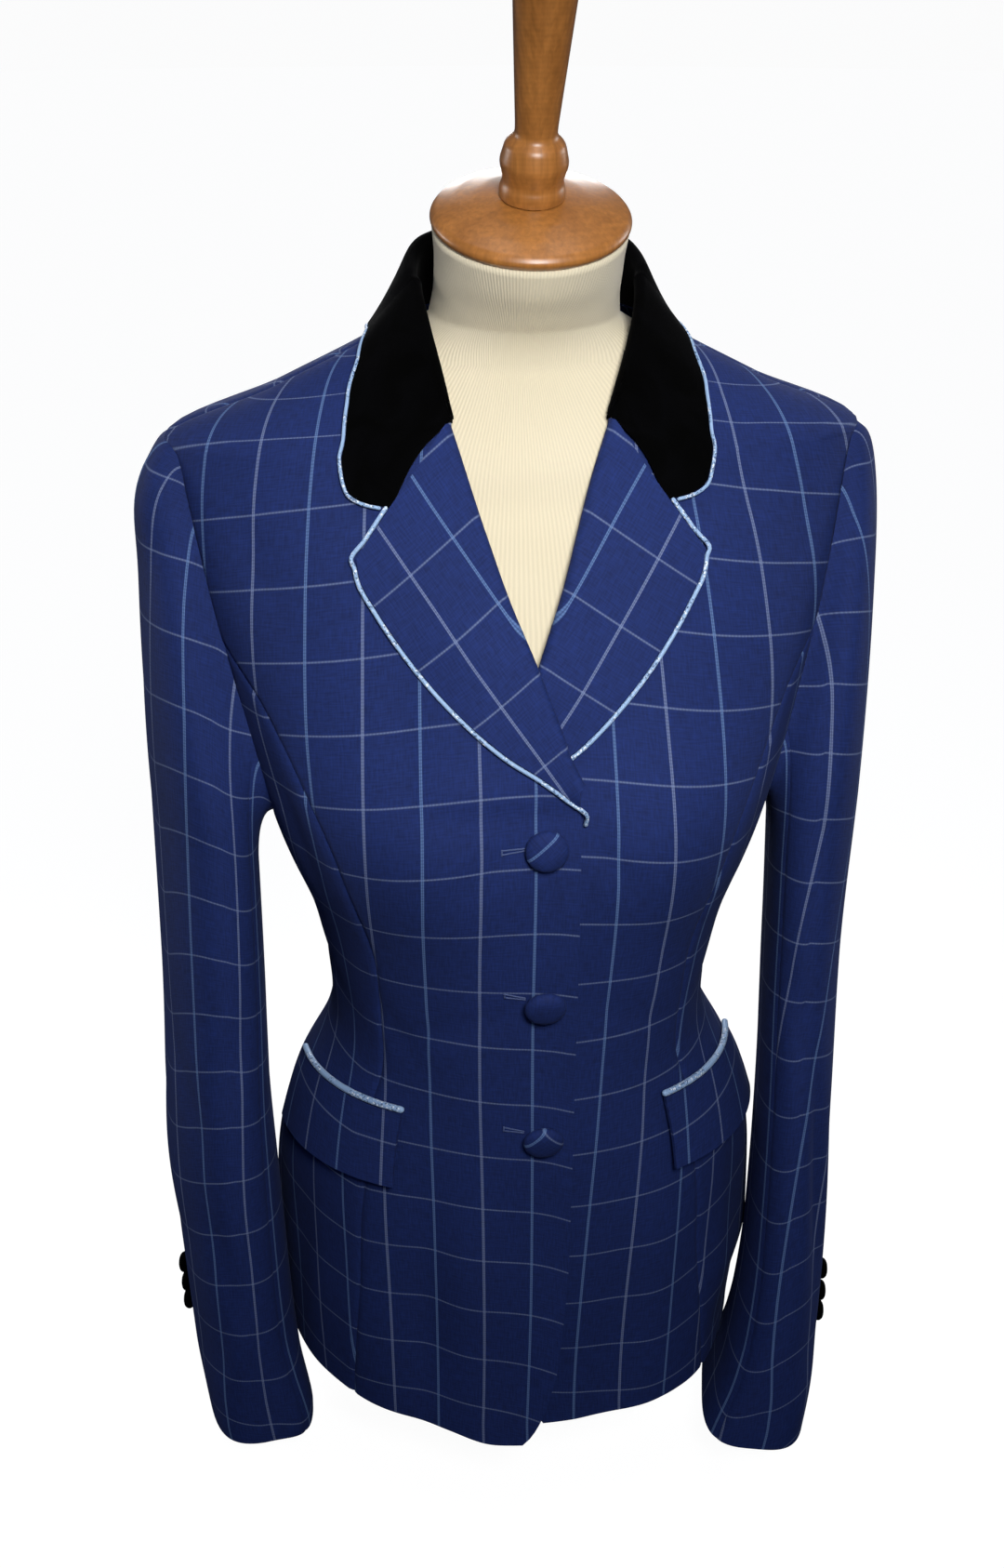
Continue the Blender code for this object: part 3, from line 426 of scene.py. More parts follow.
def lap(inset, height, side):
    """How far a front stands off the body near the centre, where the wearer's right laps over."""
    fade = 1 - ease((np.abs(inset) - 0.025) / 0.040)
    rise = smooth(LAP, "over" if side == "right" else "under", height)
    if side == "right":
        rise = rise + ROLL_LIFT * ease((height - 0.464) / 0.014) * ease((0.566 - height) / 0.030)
        rise = rise + EDGE_LIFT * ease((-0.006 - inset) / 0.012) * ease((0.440 - height) / 0.050)
    else:
        at_waist = ease((0.425 - height) / 0.025) * ease((height - 0.300) / 0.025)
        rise = rise - UNDER_SINK * ease((-0.001 - inset) / 0.006) * at_waist
    return fade * rise


def roll_room(height):
    """How far a front's edge is drawn in behind the roll of its lapel."""
    return 0.0035 * ease((height - 0.474) / 0.020) * ease((0.648 - height) / 0.010)


def armhole(turn):
    """Angle and height of the armhole at a turn: 0 at the shoulder, 90 degrees at the front."""
    spread = np.where(np.sin(turn) > 0, 21.0, 25.0)
    sweep = spread * np.abs(np.sin(turn)) ** 0.22 * np.sign(np.sin(turn))
    return np.radians(90 - sweep), SHOULDER - ARMHOLE_DEPTH / 2 * (1 - np.cos(turn))


def armhole_turn(height):
    """The turn, on the front half, at which the armhole passes a height."""
    return np.arccos(np.clip(1 - 2 * (SHOULDER - np.asarray(height)) / ARMHOLE_DEPTH, -1, 1))


def outer_seam(rows, top, half, height):
    """Angle by height of a panel's outer edge: seam, then armhole, then shoulder seam."""
    seam = np.radians(smooth(rows, "angle", height))
    hole = armhole(half * armhole_turn(height))[0]
    return np.where(height < top, seam, np.where(height < SHOULDER - 1e-6, hole, math.pi / 2))


def panel_heights(hem, seam_top, half):
    """Heights of a panel's rows at its outer edge: up the seam, the armhole and the shoulder."""
    turns = half * np.linspace(armhole_turn(seam_top), 0, 29)
    return np.concatenate([np.linspace(hem, seam_top, 117), armhole(turns[1:])[1],
                           np.linspace(SHOULDER, NECK, 21)[1:]])


def arcs(angle, height):
    """Lengths on the body: round it from the centre front, and up it from the waist."""
    steps = np.linspace(0, 1, 40).reshape(-1, *[1] * np.ndim(angle))
    around = np.linalg.norm(np.diff(body(steps * angle, height), axis=0), axis=-1).sum(0)
    upward = np.linalg.norm(np.diff(body(angle, WAIST + steps * (height - WAIST)), axis=0), axis=-1).sum(0)
    return around * np.sign(angle), upward * np.sign(height - WAIST)


def drift(a, b, coefficients):
    """A sum of powers of a and b, in metres."""
    terms = np.stack([a ** i * b ** j for i in range(3) for j in range(5)], -1)
    return terms @ np.array(coefficients) / 1000


def threads(side, around, upward, height):
    """The cloth's own width and length at a place of the body: its check is drawn in these."""
    a = (np.clip(around, -0.02, 0.190) - 0.08) / 0.08
    b = (np.clip(height, 0.075, 0.684) - 0.34) / 0.30
    lengthwise = upward + drift(a, b, GRAIN[side][1])
    if side == "right":
        sink = np.interp(height, EDGE_SINK["height"], EDGE_SINK["sink"])
        lengthwise = lengthwise + sink * np.clip((0.006 - around) / 0.025, 0, 1) ** 1.4
    return np.stack([around + drift(a, b, GRAIN[side][0]), lengthwise], -1)


def creases(rows, across, along):
    """Soft troughs and ridges, each along a line between two places, fading out at its ends."""
    total = np.zeros_like(across)
    for x0, y0, x1, y1, width, depth in rows:
        length = (x1 - x0) ** 2 + (y1 - y0) ** 2
        share = np.clip(((across - x0) * (x1 - x0) + (along - y0) * (y1 - y0)) / length, 0, 1)
        gap = np.hypot(across - x0 - share * (x1 - x0), along - y0 - share * (y1 - y0))
        total += depth * np.exp(-(gap / width) ** 2) * (0.25 + 0.75 * np.sin(math.pi * share))
    return total


def front_relief(side, around, height):
    """How the cloth of a front stands off its plain form: creases and a slow unevenness."""
    slow = 0.0004 * np.sin(61 * around + 23 * height + 1.0) + 0.0004 * np.sin(37 * around - 49 * height + 2.2)
    return creases(FRONT_CREASES[side], around, height) + slow * ease((0.62 - height) / 0.05)


def dip(points, edges, depth=0.0014, width=0.0018, slit=0.00045):
    """Draw the cloth in along the sewn edges of a grid, as a pressed seam does, and part the join a hair."""
    normal = units(np.cross(np.gradient(points, axis=1), np.gradient(points, axis=0)))
    points = points.copy()
    total = np.zeros(points.shape[:2])
    for edge in edges:
        axis = 0 if edge == "top" else 1
        flip = slice(None) if edge == "left" else slice(None, None, -1)
        lines = np.moveaxis(points, axis, 0)[flip]
        run = np.linalg.norm(np.diff(lines, axis=0), axis=-1).cumsum(0)
        run = np.concatenate([np.zeros((1, run.shape[1])), run])
        total += np.moveaxis(np.exp(-(run / width) ** 2)[flip], 0, axis)
        lines[0] += slit * units(lines[1] - lines[0])
    return points - normal * (depth * np.clip(total, 0, 1))[..., None]


def shares(count):
    """Shares of the way across a panel, closer together at its two seams."""
    return np.unique(np.concatenate([np.linspace(0, 1, count), [0.004, 0.010, 0.990, 0.996]]))


# Wool suiting, plain woven and pressed: dull navy, heathered by uneven threads, with fine lines of
# blue and lilac yarn every 27 by 36.5 mm, a pair of strands up the cloth and a ticked line across it.
wool, tree, shader = new_material("navy windowpane wool")
cloth_place = node(tree, "ShaderNodeUVMap", uv_map="cloth").outputs[0]
split = node(tree, "ShaderNodeSeparateXYZ", {0: cloth_place}).outputs
CHECK_WIDTH, CHECK_LENGTH = 0.027, 0.0365
TICK = 0.0016
# Across a line and along it, the spacing, half the gap between a pair of strands, and a strand's reach
CHECK_LINES = (("X", "Y", CHECK_WIDTH, 0.0004, 0.00045), ("Y", "X", CHECK_LENGTH, 0.0, 0.0007))
lines = []
for axis, other, pitch, strand, reach in CHECK_LINES:
    away = node(tree, "ShaderNodeMath", {0: split[axis], 1: pitch / 2}, operation="PINGPONG").outputs[0]
    beside_it = node(tree, "ShaderNodeMath", {0: away, 1: strand}, operation="SUBTRACT").outputs[0]
    beside_it = node(tree, "ShaderNodeMath", {0: beside_it}, operation="ABSOLUTE").outputs[0]
    line = node(tree, "ShaderNodeMapRange", {"Value": beside_it, "From Min": 0.0001, "From Max": reach,
                                             "To Min": 1.0, "To Max": 0.0},
                interpolation_type="SMOOTHSTEP").outputs[0]
    core = node(tree, "ShaderNodeMapRange", {"Value": away, "From Min": 0.0003, "From Max": 0.0008,
                                             "To Min": 0.45, "To Max": 0.0}).outputs[0]
    line = node(tree, "ShaderNodeMath", {0: line, 1: core}, operation="MAXIMUM").outputs[0]
    ticks = node(tree, "ShaderNodeMath", {0: split[other], 1: 2 * math.pi / TICK},
                 operation="MULTIPLY").outputs[0]
    ticks = node(tree, "ShaderNodeMath", {0: ticks}, operation="SINE").outputs[0]
    ticks = node(tree, "ShaderNodeMapRange", {"Value": ticks, "From Min": -1.0, "To Min": 0.66}).outputs[0]
    lines.append(node(tree, "ShaderNodeMath", {0: line, 1: ticks}, operation="MULTIPLY").outputs[0])
second = node(tree, "ShaderNodeMath", {0: split["X"], 1: CHECK_WIDTH}, operation="PINGPONG").outputs[0]
second = node(tree, "ShaderNodeMath", {0: second, 1: CHECK_WIDTH / 2}, operation="GREATER_THAN").outputs[0]
warp_colour = node(tree, "ShaderNodeMix", {0: second, 6: linear("#6D8DBE"), 7: linear("#8694B8")},
                   data_type="RGBA").outputs[2]
streaks = []
for stretch in ((1100.0, 130.0, 1.0), (130.0, 1100.0, 1.0)):
    slub = node(tree, "ShaderNodeMapping", {"Vector": cloth_place, "Scale": stretch}).outputs[0]
    slub = node(tree, "ShaderNodeTexNoise", {"Vector": slub, "Scale": 1.0, "Detail": 2.0}).outputs["Fac"]
    streaks.append(slub)
heather = node(tree, "ShaderNodeMath", {0: streaks[0], 1: streaks[1]}, operation="ADD").outputs[0]
heather = node(tree, "ShaderNodeMapRange", {"Value": heather, "From Min": 0.7, "From Max": 1.3}).outputs[0]
navy = node(tree, "ShaderNodeMix", {0: heather, 6: linear("#102050"), 7: linear("#182C68")},
            data_type="RGBA").outputs[2]
fade = node(tree, "ShaderNodeTexNoise", {"Vector": cloth_place, "Scale": 14.0, "Detail": 2.0}).outputs["Fac"]
fade = node(tree, "ShaderNodeMapRange", {"Value": fade, "From Min": 0.3, "From Max": 0.7, "To Min": 0.94,
                                         "To Max": 1.05}).outputs[0]
navy = node(tree, "ShaderNodeMix", {0: 1.0, 6: navy, 7: fade}, data_type="RGBA",
            blend_type="MULTIPLY").outputs[2]
weft_share = node(tree, "ShaderNodeMath", {0: lines[1], 1: 0.52}, operation="MULTIPLY").outputs[0]
checked = node(tree, "ShaderNodeMix", {0: weft_share, 6: navy, 7: linear("#808FB2")},
               data_type="RGBA").outputs[2]
warp_share = node(tree, "ShaderNodeMath", {0: lines[0], 1: 0.64}, operation="MULTIPLY").outputs[0]
checked = node(tree, "ShaderNodeMix", {0: warp_share, 6: checked, 7: warp_colour},
               data_type="RGBA").outputs[2]
raised = node(tree, "ShaderNodeMath", {0: lines[0], 1: 0.4, 2: heather}, operation="MULTIPLY_ADD").outputs[0]
bump = node(tree, "ShaderNodeBump", {"Height": raised, "Strength": 0.25, "Distance": 0.0003}).outputs[0]
tree.links.new(checked, shader.inputs["Base Color"])
tree.links.new(bump, shader.inputs["Normal"])
shader.inputs["Roughness"].default_value = 0.85
shader.inputs["Specular IOR Level"].default_value = 0.30
shader.inputs["Sheen Weight"].default_value = 0.02
shader.inputs["Sheen Roughness"].default_value = 0.45
shader.inputs["Sheen Tint"].default_value = linear("#8FA4D8")


def lay_threads(made, places):
    """Give a piece its map of threads: a place in the cloth for each of its points."""
    layer = made.data.uv_layers.new(name="cloth")
    corners = np.empty(len(made.data.loops), int)
    made.data.loops.foreach_get("vertex_index", corners)
    layer.data.foreach_set("uv", places.reshape(-1, 2)[corners].astype(np.float32).ravel())


def cloth(name, points, weave, replaced, mirrored=False, press=False, wall=WALL, finish=wool):
    """A grid of points as a piece of cloth with its wall on the outer side and its threads as a map."""
    if mirrored:
        points, weave = points[:, ::-1] * MIRROR, weave[:, ::-1]
    rows, columns = points.shape[:2]
    made = new_mesh(name, settle(points, press), grid_faces(rows, columns), finish)
    lay_threads(made, weave)
    bpy.ops.object.select_all(action="DESELECT")
    bpy.context.view_layer.objects.active = made
    made.select_set(True)
    shell = made.modifiers.new("wall", "SOLIDIFY")
    shell.thickness = wall
    shell.offset = 1.0
    bpy.ops.object.modifier_apply(modifier=shell.name)
    bpy.ops.object.shade_smooth_by_angle(angle=math.radians(50))
    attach(made, "root")
    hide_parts(replaced)
    return made


for side in ("left", "right"):
    share = shares(53)
    hem = smooth(FRONT_HEM, side, share)
    up = (panel_heights(hem[-1], PRINCESS_TOP, 1) - hem[-1]) / (NECK - hem[-1])
    height = hem + up[:, None] * (NECK - hem)
    inner = angle_at(smooth(OPENING, "inset", height) + roll_room(height), height)
    angle = inner + share * (outer_seam(PRINCESS, PRINCESS_TOP, 1, height) - inner)
    inset = np.sin(angle) * level("half_width", height)
    around, upward = arcs(angle, height)
    points = out(angle, height, lap(inset, height, side) + front_relief(side, around, height))
    points = dip(points, ("right", "top"))
    cloth(f"front_panel_{side}", points, threads(side, around, upward, height), f"front_{side}",
          mirrored=side == "right", press=side == "left")

# Side panels
# One panel under each arm of the same wool, between the princess seam and the side back seam,
# where a short vent is left open at the hem.
BACK_SEAM_TOP = 0.545
SIDE_HEM = 0.0705
VENT_TOP = 0.215
# How far round from the centre front the threads follow the fronts; beyond, they keep plain arc lengths
HIP_ARC = 0.105
BACK_SEAM = table("height angle", (0.060, 122.0), (0.200, 126.0), (0.300, 132.0), (0.400, 128.0),
                  (0.480, 122.0), (0.545, 114.9))
# The fullness of the skirt behind each sleeve, which runs over the side back seam
SKIRT_RIDGE = {"right": (0.262, 0.230, 0.266, 0.060, 0.024, 0.0080),
               "left": (0.272, 0.225, 0.276, 0.058, 0.026, 0.0095)}
SIDE_CREASES = {
    "right": ((0.150, 0.215, 0.172, 0.078, 0.016, -0.0022), (0.205, 0.200, 0.222, 0.076, 0.018, 0.0026),
              (0.150, 0.470, 0.128, 0.400, 0.011, -0.0018), (0.185, 0.350, 0.120, 0.318, 0.010, -0.0014),
              SKIRT_RIDGE["right"]),
    "left": ((0.142, 0.220, 0.160, 0.080, 0.018, -0.0024), (0.212, 0.190, 0.226, 0.078, 0.016, 0.0022),
             (0.155, 0.462, 0.132, 0.404, 0.012, -0.0016), (0.180, 0.340, 0.118, 0.322, 0.009, -0.0012),
             SKIRT_RIDGE["left"]),
}


def vent(height):
    """Half the opening angle of a back vent."""
    return math.radians(0.2) * ease((VENT_TOP - height) / (VENT_TOP - SIDE_HEM))


def side_width(height):
    """Angle of the princess seam at a height, and the angle from there to the back seam."""
    start = np.radians(smooth(PRINCESS, "angle", height))
    return start, np.radians(smooth(BACK_SEAM, "angle", height)) - vent(height) - start


for side in ("left", "right"):
    share = shares(49)
    first, last = armhole_turn(PRINCESS_TOP), 2 * math.pi - armhole_turn(BACK_SEAM_TOP)
    turns = first + share * (last - first)
    top_angle, top_height = armhole(turns)
    start, width = side_width(top_height)
    top_share = (top_angle - start) / width
    up = np.linspace(0, 1, 113)[:, None]
    height = SIDE_HEM + up * (top_height - SIDE_HEM)
    start, width = side_width(height)
    angle = start + (share + up ** 2 * (top_share - share)) * width
    around, upward = arcs(angle, height)
    seam_around = arcs(start, height)[0]
    fade = np.exp(-((around - seam_around) / 0.03) ** 2)
    relief = fade * front_relief(side, around, height) + creases(SIDE_CREASES[side], around, height)
    points = dip(out(angle, height, relief), ("left", "right", "top"))
    weave = threads(side, np.minimum(around, HIP_ARC), upward, height)
    weave[..., 0] += np.maximum(around - HIP_ARC, 0) - 0.010 * ease((height - 0.33) / 0.17)
    cloth(f"side_panel_{side}", points, weave, f"side_{side}",
          mirrored=side == "right", press=side == "left")

# Backs
# Two back panels of the same wool, joined down the centre back and shaped to the waist, plain.
BACK_CREASES = {
    "right": ((0.300, 0.205, 0.318, 0.078, 0.018, 0.0028), (0.350, 0.215, 0.362, 0.080, 0.016, -0.0024),
              (0.290, 0.340, 0.345, 0.318, 0.010, -0.0014), (0.330, 0.560, 0.290, 0.500, 0.014, -0.0014),
              SKIRT_RIDGE["right"]),
    "left": ((0.306, 0.198, 0.322, 0.076, 0.017, 0.0024), (0.352, 0.210, 0.360, 0.082, 0.018, -0.0026),
             (0.285, 0.346, 0.340, 0.312, 0.010, -0.0013), (0.325, 0.552, 0.288, 0.506, 0.013, -0.0015),
             SKIRT_RIDGE["left"]),
}
for side in ("left", "right"):
    share = shares(45)
    height = panel_heights(SIDE_HEM, BACK_SEAM_TOP, -1)[:, None] + 0 * share
    seam = outer_seam(BACK_SEAM, BACK_SEAM_TOP, -1, height) + vent(height)
    angle = seam + share * (math.pi - seam)
    around, upward = arcs(angle, height)
    points = dip(out(angle, height, creases(BACK_CREASES[side], around, height)), ("left", "right", "top"))
    centre = arcs(np.full_like(angle, math.pi), height)[0]
    weave = np.stack([around - centre + 0.0135, upward + 0.006], -1)
    cloth(f"back_panel_{side}", points, weave, f"back_{side}",
          mirrored=side == "right", press=side == "left")

# Pocket flaps
# A slanting flap of the same wool over each hip, sewn into the pocket mouth under a thick printed
# piping, its lower corners a little off the skirt.
FLAP = table("down front_angle rear_angle front_height rear_height",
             (0.0, 36.6, 85.0, 0.274, 0.260), (1.0, 32.8, 81.0, 0.231, 0.221))
flap_edges = {}
for side in ("left", "right"):
    across = np.linspace(0, 1, 41)
    down = np.linspace(0, 1, 25)[:, None]
    front = smooth(FLAP, "front_angle", down)
    front_height = smooth(FLAP, "front_height", down)
    angle = np.radians(front + across * (smooth(FLAP, "rear_angle", down) - front))
    height = front_height + across * (smooth(FLAP, "rear_height", down) - front_height)
    around, upward = arcs(angle, height)
    distance = WALL + 0.0020 + 0.0045 * down ** 1.5 * (1 - 0.6 * across)
    points = out(angle, height, distance + 0.5 * front_relief(side, around, height))[::-1]
    weave = threads(side, np.minimum(around, HIP_ARC), upward, height)[::-1]
    weave[..., 0] += np.maximum(around[::-1] - HIP_ARC, 0) + 0.002
    cloth(f"pocket_flap_cloth_{side}", points, weave, f"pocket_flap_{side}",
          mirrored=side == "right", press=side == "left")
    flap_edges[side] = points

# Lapels
# Each front turns back on itself along its roll line and shows its facing: the lapel, cut so that
# its check lies along the edge.  The roll is soft, and the outer edge is piped.
LAPEL = table(
    "share roll_inset roll_height edge_inset edge_height",
    (0.00, -0.019, 0.477, -0.019, 0.4705),
    (0.12, -0.014, 0.495, -0.004, 0.4815),
    (0.28, -0.005, 0.520, 0.018, 0.496),
    (0.45, 0.005, 0.545, 0.043, 0.519),
    (0.60, 0.014, 0.568, 0.0615, 0.540),
    (0.75, 0.022, 0.592, 0.0750, 0.559),
    (0.90, 0.032, 0.622, 0.0838, 0.575),
    (1.00, 0.039, 0.641, 0.0850, 0.584),
)
SEAM_GAP = 0.0003
LYING_GAP = 0.0009
ROLL_RISE = 0.0015
CURL_RADIUS = 0.0020
CURL = np.radians(np.linspace(115, 0, 9))[:-1]
LAPEL_CHECK = {"right": ((0.318, 0.8244, -0.5887), (0.5141, -0.6428, -0.8227)),
               "left": ((0.3018, 0.8083, -0.5577), (0.5375, -0.5818, -0.8626))}
lapel_grids = {}
for side in ("left", "right"):
    share = np.linspace(0.10 if side == "left" else 0, 1, 71)
    roll_height = smooth(LAPEL, "roll_height", share)
    roll_inset = smooth(LAPEL, "roll_inset", share) + roll_room(roll_height)
    edge_height = smooth(LAPEL, "edge_height", share)
    over = np.linspace(0, 1, 25)
    inset = roll_inset[:, None] + over * (smooth(LAPEL, "edge_inset", share) - roll_inset)[:, None]
    height = roll_height[:, None] + over * (edge_height - roll_height)[:, None]
    angle = angle_at(inset, height)
    around = arcs(angle, height)[0]
    free = ease((share - 0.22) / 0.16)[:, None] if side == "left" else 1.0
    belly = ROLL_RISE * (1 - over) ** 2 + 0.0006 * np.sin(math.pi * over)
    distance = WALL + SEAM_GAP + free * (LYING_GAP - SEAM_GAP + belly)
    points = out(angle, height, distance + lap(inset, height, side) + front_relief(side, around, height))
    points[-1] += 0.0009 * units(points[-2] - points[-1])
    lapel_grids[side] = points
    towards = units(points[:, 0] - points[:, 1])
    outward = units(np.cross(points[:, 1] - points[:, 0], np.gradient(points[:, 0], axis=0)))
    curl = [points[:, 0] + CURL_RADIUS * (towards * np.sin(turn) - outward * (1 - np.cos(turn)))
            for turn in CURL]
    whole = np.concatenate([np.stack(curl, 1), points], 1)
    check = [a + b * whole[..., 0] + c * whole[..., 2] for a, b, c in LAPEL_CHECK[side]]
    cloth(f"lapel_cloth_{side}", whole, np.stack(check, -1), f"lapel_{side}",
          mirrored=side == "right")

# Collar
# A black velvet collar that stands up round the neck, folds over and falls onto the shoulders; its
# ends meet the lapels at the gorge seam and stop at the notch.
GORGE_HEIGHT = 0.6415
VELVET_WALL = 0.0018
FOOT_RISE = 0.0018
FREE_EDGE_RISE = 0.0018
COLLAR = table(
    "share edge_angle edge_height stand lean",
    (0.00, 180.0, 0.664, 0.036, 0.05),
    (0.25, 135.0, 0.668, 0.031, 0.05),
    (0.50, 90.0, 0.6745, 0.017, 0.22),
    (0.62, 61.5, 0.6660, 0.015, 0.16),
    (0.74, 42.5, 0.6485, 0.012, 0.05),
    (0.84, 30.8, 0.6300, 0.008, 0.0),
    (0.90, 29.9, 0.6186, 0.005, 0.0),
    (0.94, 29.0, 0.6120, 0.004, 0.0),
    (0.97, 26.4, 0.6080, 0.0035, 0.0),
    (1.00, 21.8, 0.6058, 0.003, 0.0),
)


def through(knots, steps):
    """A smooth line of points through knots along the first axis."""
    knots = np.asarray(knots, float)
    ends = np.concatenate([[2 * knots[0] - knots[1]], knots, [2 * knots[-1] - knots[-2]]])
    line = []
    for i in range(len(knots) - 1):
        p, q, r, s = ends[i:i + 4]
        for t in np.arange(steps) / steps:
            line.append(0.5 * (2 * q + (r - p) * t + (2 * p - 5 * q + 4 * r - s) * t ** 2
                               + (3 * q - p - 3 * r + s) * t ** 3))
    return np.stack([*line, knots[-1]])


# Cotton velvet: a short dense pile that looks near black, greyer where it is seen edge on
velvet, tree, shader = new_material("black velvet")
cloth_place = node(tree, "ShaderNodeUVMap", uv_map="cloth").outputs[0]
pile = node(tree, "ShaderNodeTexNoise", {"Vector": cloth_place, "Scale": 1400.0,
                                         "Detail": 2.0}).outputs["Fac"]
nap = node(tree, "ShaderNodeTexNoise", {"Vector": cloth_place, "Scale": 45.0, "Detail": 3.0,
                                        "Distortion": 0.8}).outputs["Fac"]
nap = node(tree, "ShaderNodeMapRange", {"Value": nap, "From Min": 0.35, "From Max": 0.7}).outputs[0]
black = node(tree, "ShaderNodeMix", {0: nap, 6: linear("#010101"), 7: linear("#030304")},
             data_type="RGBA").outputs[2]
bump = node(tree, "ShaderNodeBump", {"Height": pile, "Strength": 0.4, "Distance": 0.0004}).outputs[0]
tree.links.new(black, shader.inputs["Base Color"])
tree.links.new(bump, shader.inputs["Normal"])
shader.inputs["Roughness"].default_value = 0.95
shader.inputs["Specular IOR Level"].default_value = 0.04
shader.inputs["Sheen Weight"].default_value = 0.01
shader.inputs["Sheen Roughness"].default_value = 0.35

share = np.linspace(0, 1, 91)
forward = ease(np.clip(2 * share - 1, 0, 1))
neck_height = NECK + (GORGE_HEIGHT - NECK) * forward
neck_front = angle_at(smooth(OPENING, "inset", neck_height), neck_height)
neck_angle = np.where(share < 0.5, math.pi + 2 * share * (neck_front - math.pi), neck_front)
seam = out(neck_angle, neck_height, FOOT_RISE * forward)
inward = units((np.array([0.0, 0.02, 0.0]) - seam) * (1, 1, 0))
stand = smooth(COLLAR, "stand", share)[:, None]
foot = seam + (inward * 2 + UP) * SEAM_GAP
top = foot + stand * (UP + smooth(COLLAR, "lean", share)[:, None] * inward)
fold = np.minimum(0.004, 0.6 * stand)
outer = top - inward * fold
sections = [foot, foot + 0.6 * (top - foot), top, top - inward * fold / 2 + UP * fold / 2]
edge_angle = np.radians(smooth(COLLAR, "edge_angle", share))
edge_height = smooth(COLLAR, "edge_height", share)
lying = ease((share - 0.70) / 0.25)[:, None]
edge = out(edge_angle, edge_height, WALL + LYING_GAP + FREE_EDGE_RISE * (1 - lying[:, 0]))
for over in np.linspace(0, 1, 5):
    distance = WALL + LYING_GAP + ROLL_RISE * (1 - over) ** 2 + 0 * share
    on_body = out(neck_angle + over * (edge_angle - neck_angle),
                  neck_height + over * (edge_height - neck_height), distance)
    free = outer + over * (edge - outer)
    sections.append(free + lying * (on_body - free))
half = np.swapaxes(through(np.stack(sections), 4), 0, 1)
collar = np.swapaxes(np.concatenate([half[:0:-1] * MIRROR, half]), 0, 1)
along = np.linalg.norm(np.diff(collar[-1], axis=0), axis=-1).cumsum()
across = np.linalg.norm(np.diff(collar, axis=0), axis=-1).cumsum(0)
weave = np.stack([np.tile(np.concatenate([[0], along]), (len(collar), 1)),
                  np.concatenate([np.zeros((1, collar.shape[1])), across])], -1)
cloth("collar_velvet", collar, weave, "collar",
      wall=VELVET_WALL, finish=velvet)

# Piping
# A cord in a pale blue printed cotton, sewn round the collar, the lapels' outer edges and along the
# top of each pocket flap.

# Printed cotton, cut on the bias: pale blue, with small flecks of white and slate in every second stretch
print_cotton, tree, shader = new_material("pale blue printed cotton")
cloth_place = node(tree, "ShaderNodeUVMap", uv_map="cloth").outputs[0]
split = node(tree, "ShaderNodeSeparateXYZ", {0: cloth_place}).outputs
sprig = node(tree, "ShaderNodeTexVoronoi", {"Vector": cloth_place, "Scale": 520.0}).outputs["Distance"]
sprig = node(tree, "ShaderNodeMapRange", {"Value": sprig, "From Min": 0.25, "From Max": 0.45, "To Min": 1.0,
                                          "To Max": 0.0}).outputs[0]
fleck = node(tree, "ShaderNodeTexNoise", {"Vector": cloth_place, "Scale": 700.0,
                                          "Detail": 1.0}).outputs["Fac"]
fleck = node(tree, "ShaderNodeMapRange", {"Value": fleck, "From Min": 0.56, "From Max": 0.62}).outputs[0]
stretch = node(tree, "ShaderNodeTexNoise", {"W": split["X"], "Scale": 55.0, "Detail": 1.0},
               noise_dimensions="1D").outputs["Fac"]
group = node(tree, "ShaderNodeMapRange", {"Value": stretch, "From Min": 0.45, "From Max": 0.50}).outputs[0]
white_share = node(tree, "ShaderNodeMath", {0: sprig, 1: group}, operation="MULTIPLY").outputs[0]
slate_share = node(tree, "ShaderNodeMath", {0: fleck, 1: group}, operation="MULTIPLY").outputs[0]
pale = node(tree, "ShaderNodeMix", {0: white_share, 6: linear("#93B1D6"), 7: linear("#E4ECF5")},
            data_type="RGBA").outputs[2]
pale = node(tree, "ShaderNodeMix", {0: slate_share, 6: pale, 7: linear("#4A6388")},
            data_type="RGBA").outputs[2]
thread = node(tree, "ShaderNodeTexNoise", {"Vector": cloth_place, "Scale": 2600.0}).outputs["Fac"]
bump = node(tree, "ShaderNodeBump", {"Height": thread, "Strength": 0.3, "Distance": 0.0002}).outputs[0]
tree.links.new(pale, shader.inputs["Base Color"])
tree.links.new(bump, shader.inputs["Normal"])
shader.inputs["Roughness"].default_value = 0.55
shader.inputs["Sheen Weight"].default_value = 0.1


def beside(points, radius):
    """Where a piping lies along the last row of a grid."""
    along = units(np.gradient(points[-1], axis=0))
    normal = units(np.cross(along, points[-1] - points[-2]))
    return points[-1] + np.cross(normal, along) * (radius + 1.5 * SEAM_GAP) + normal * 0.0015


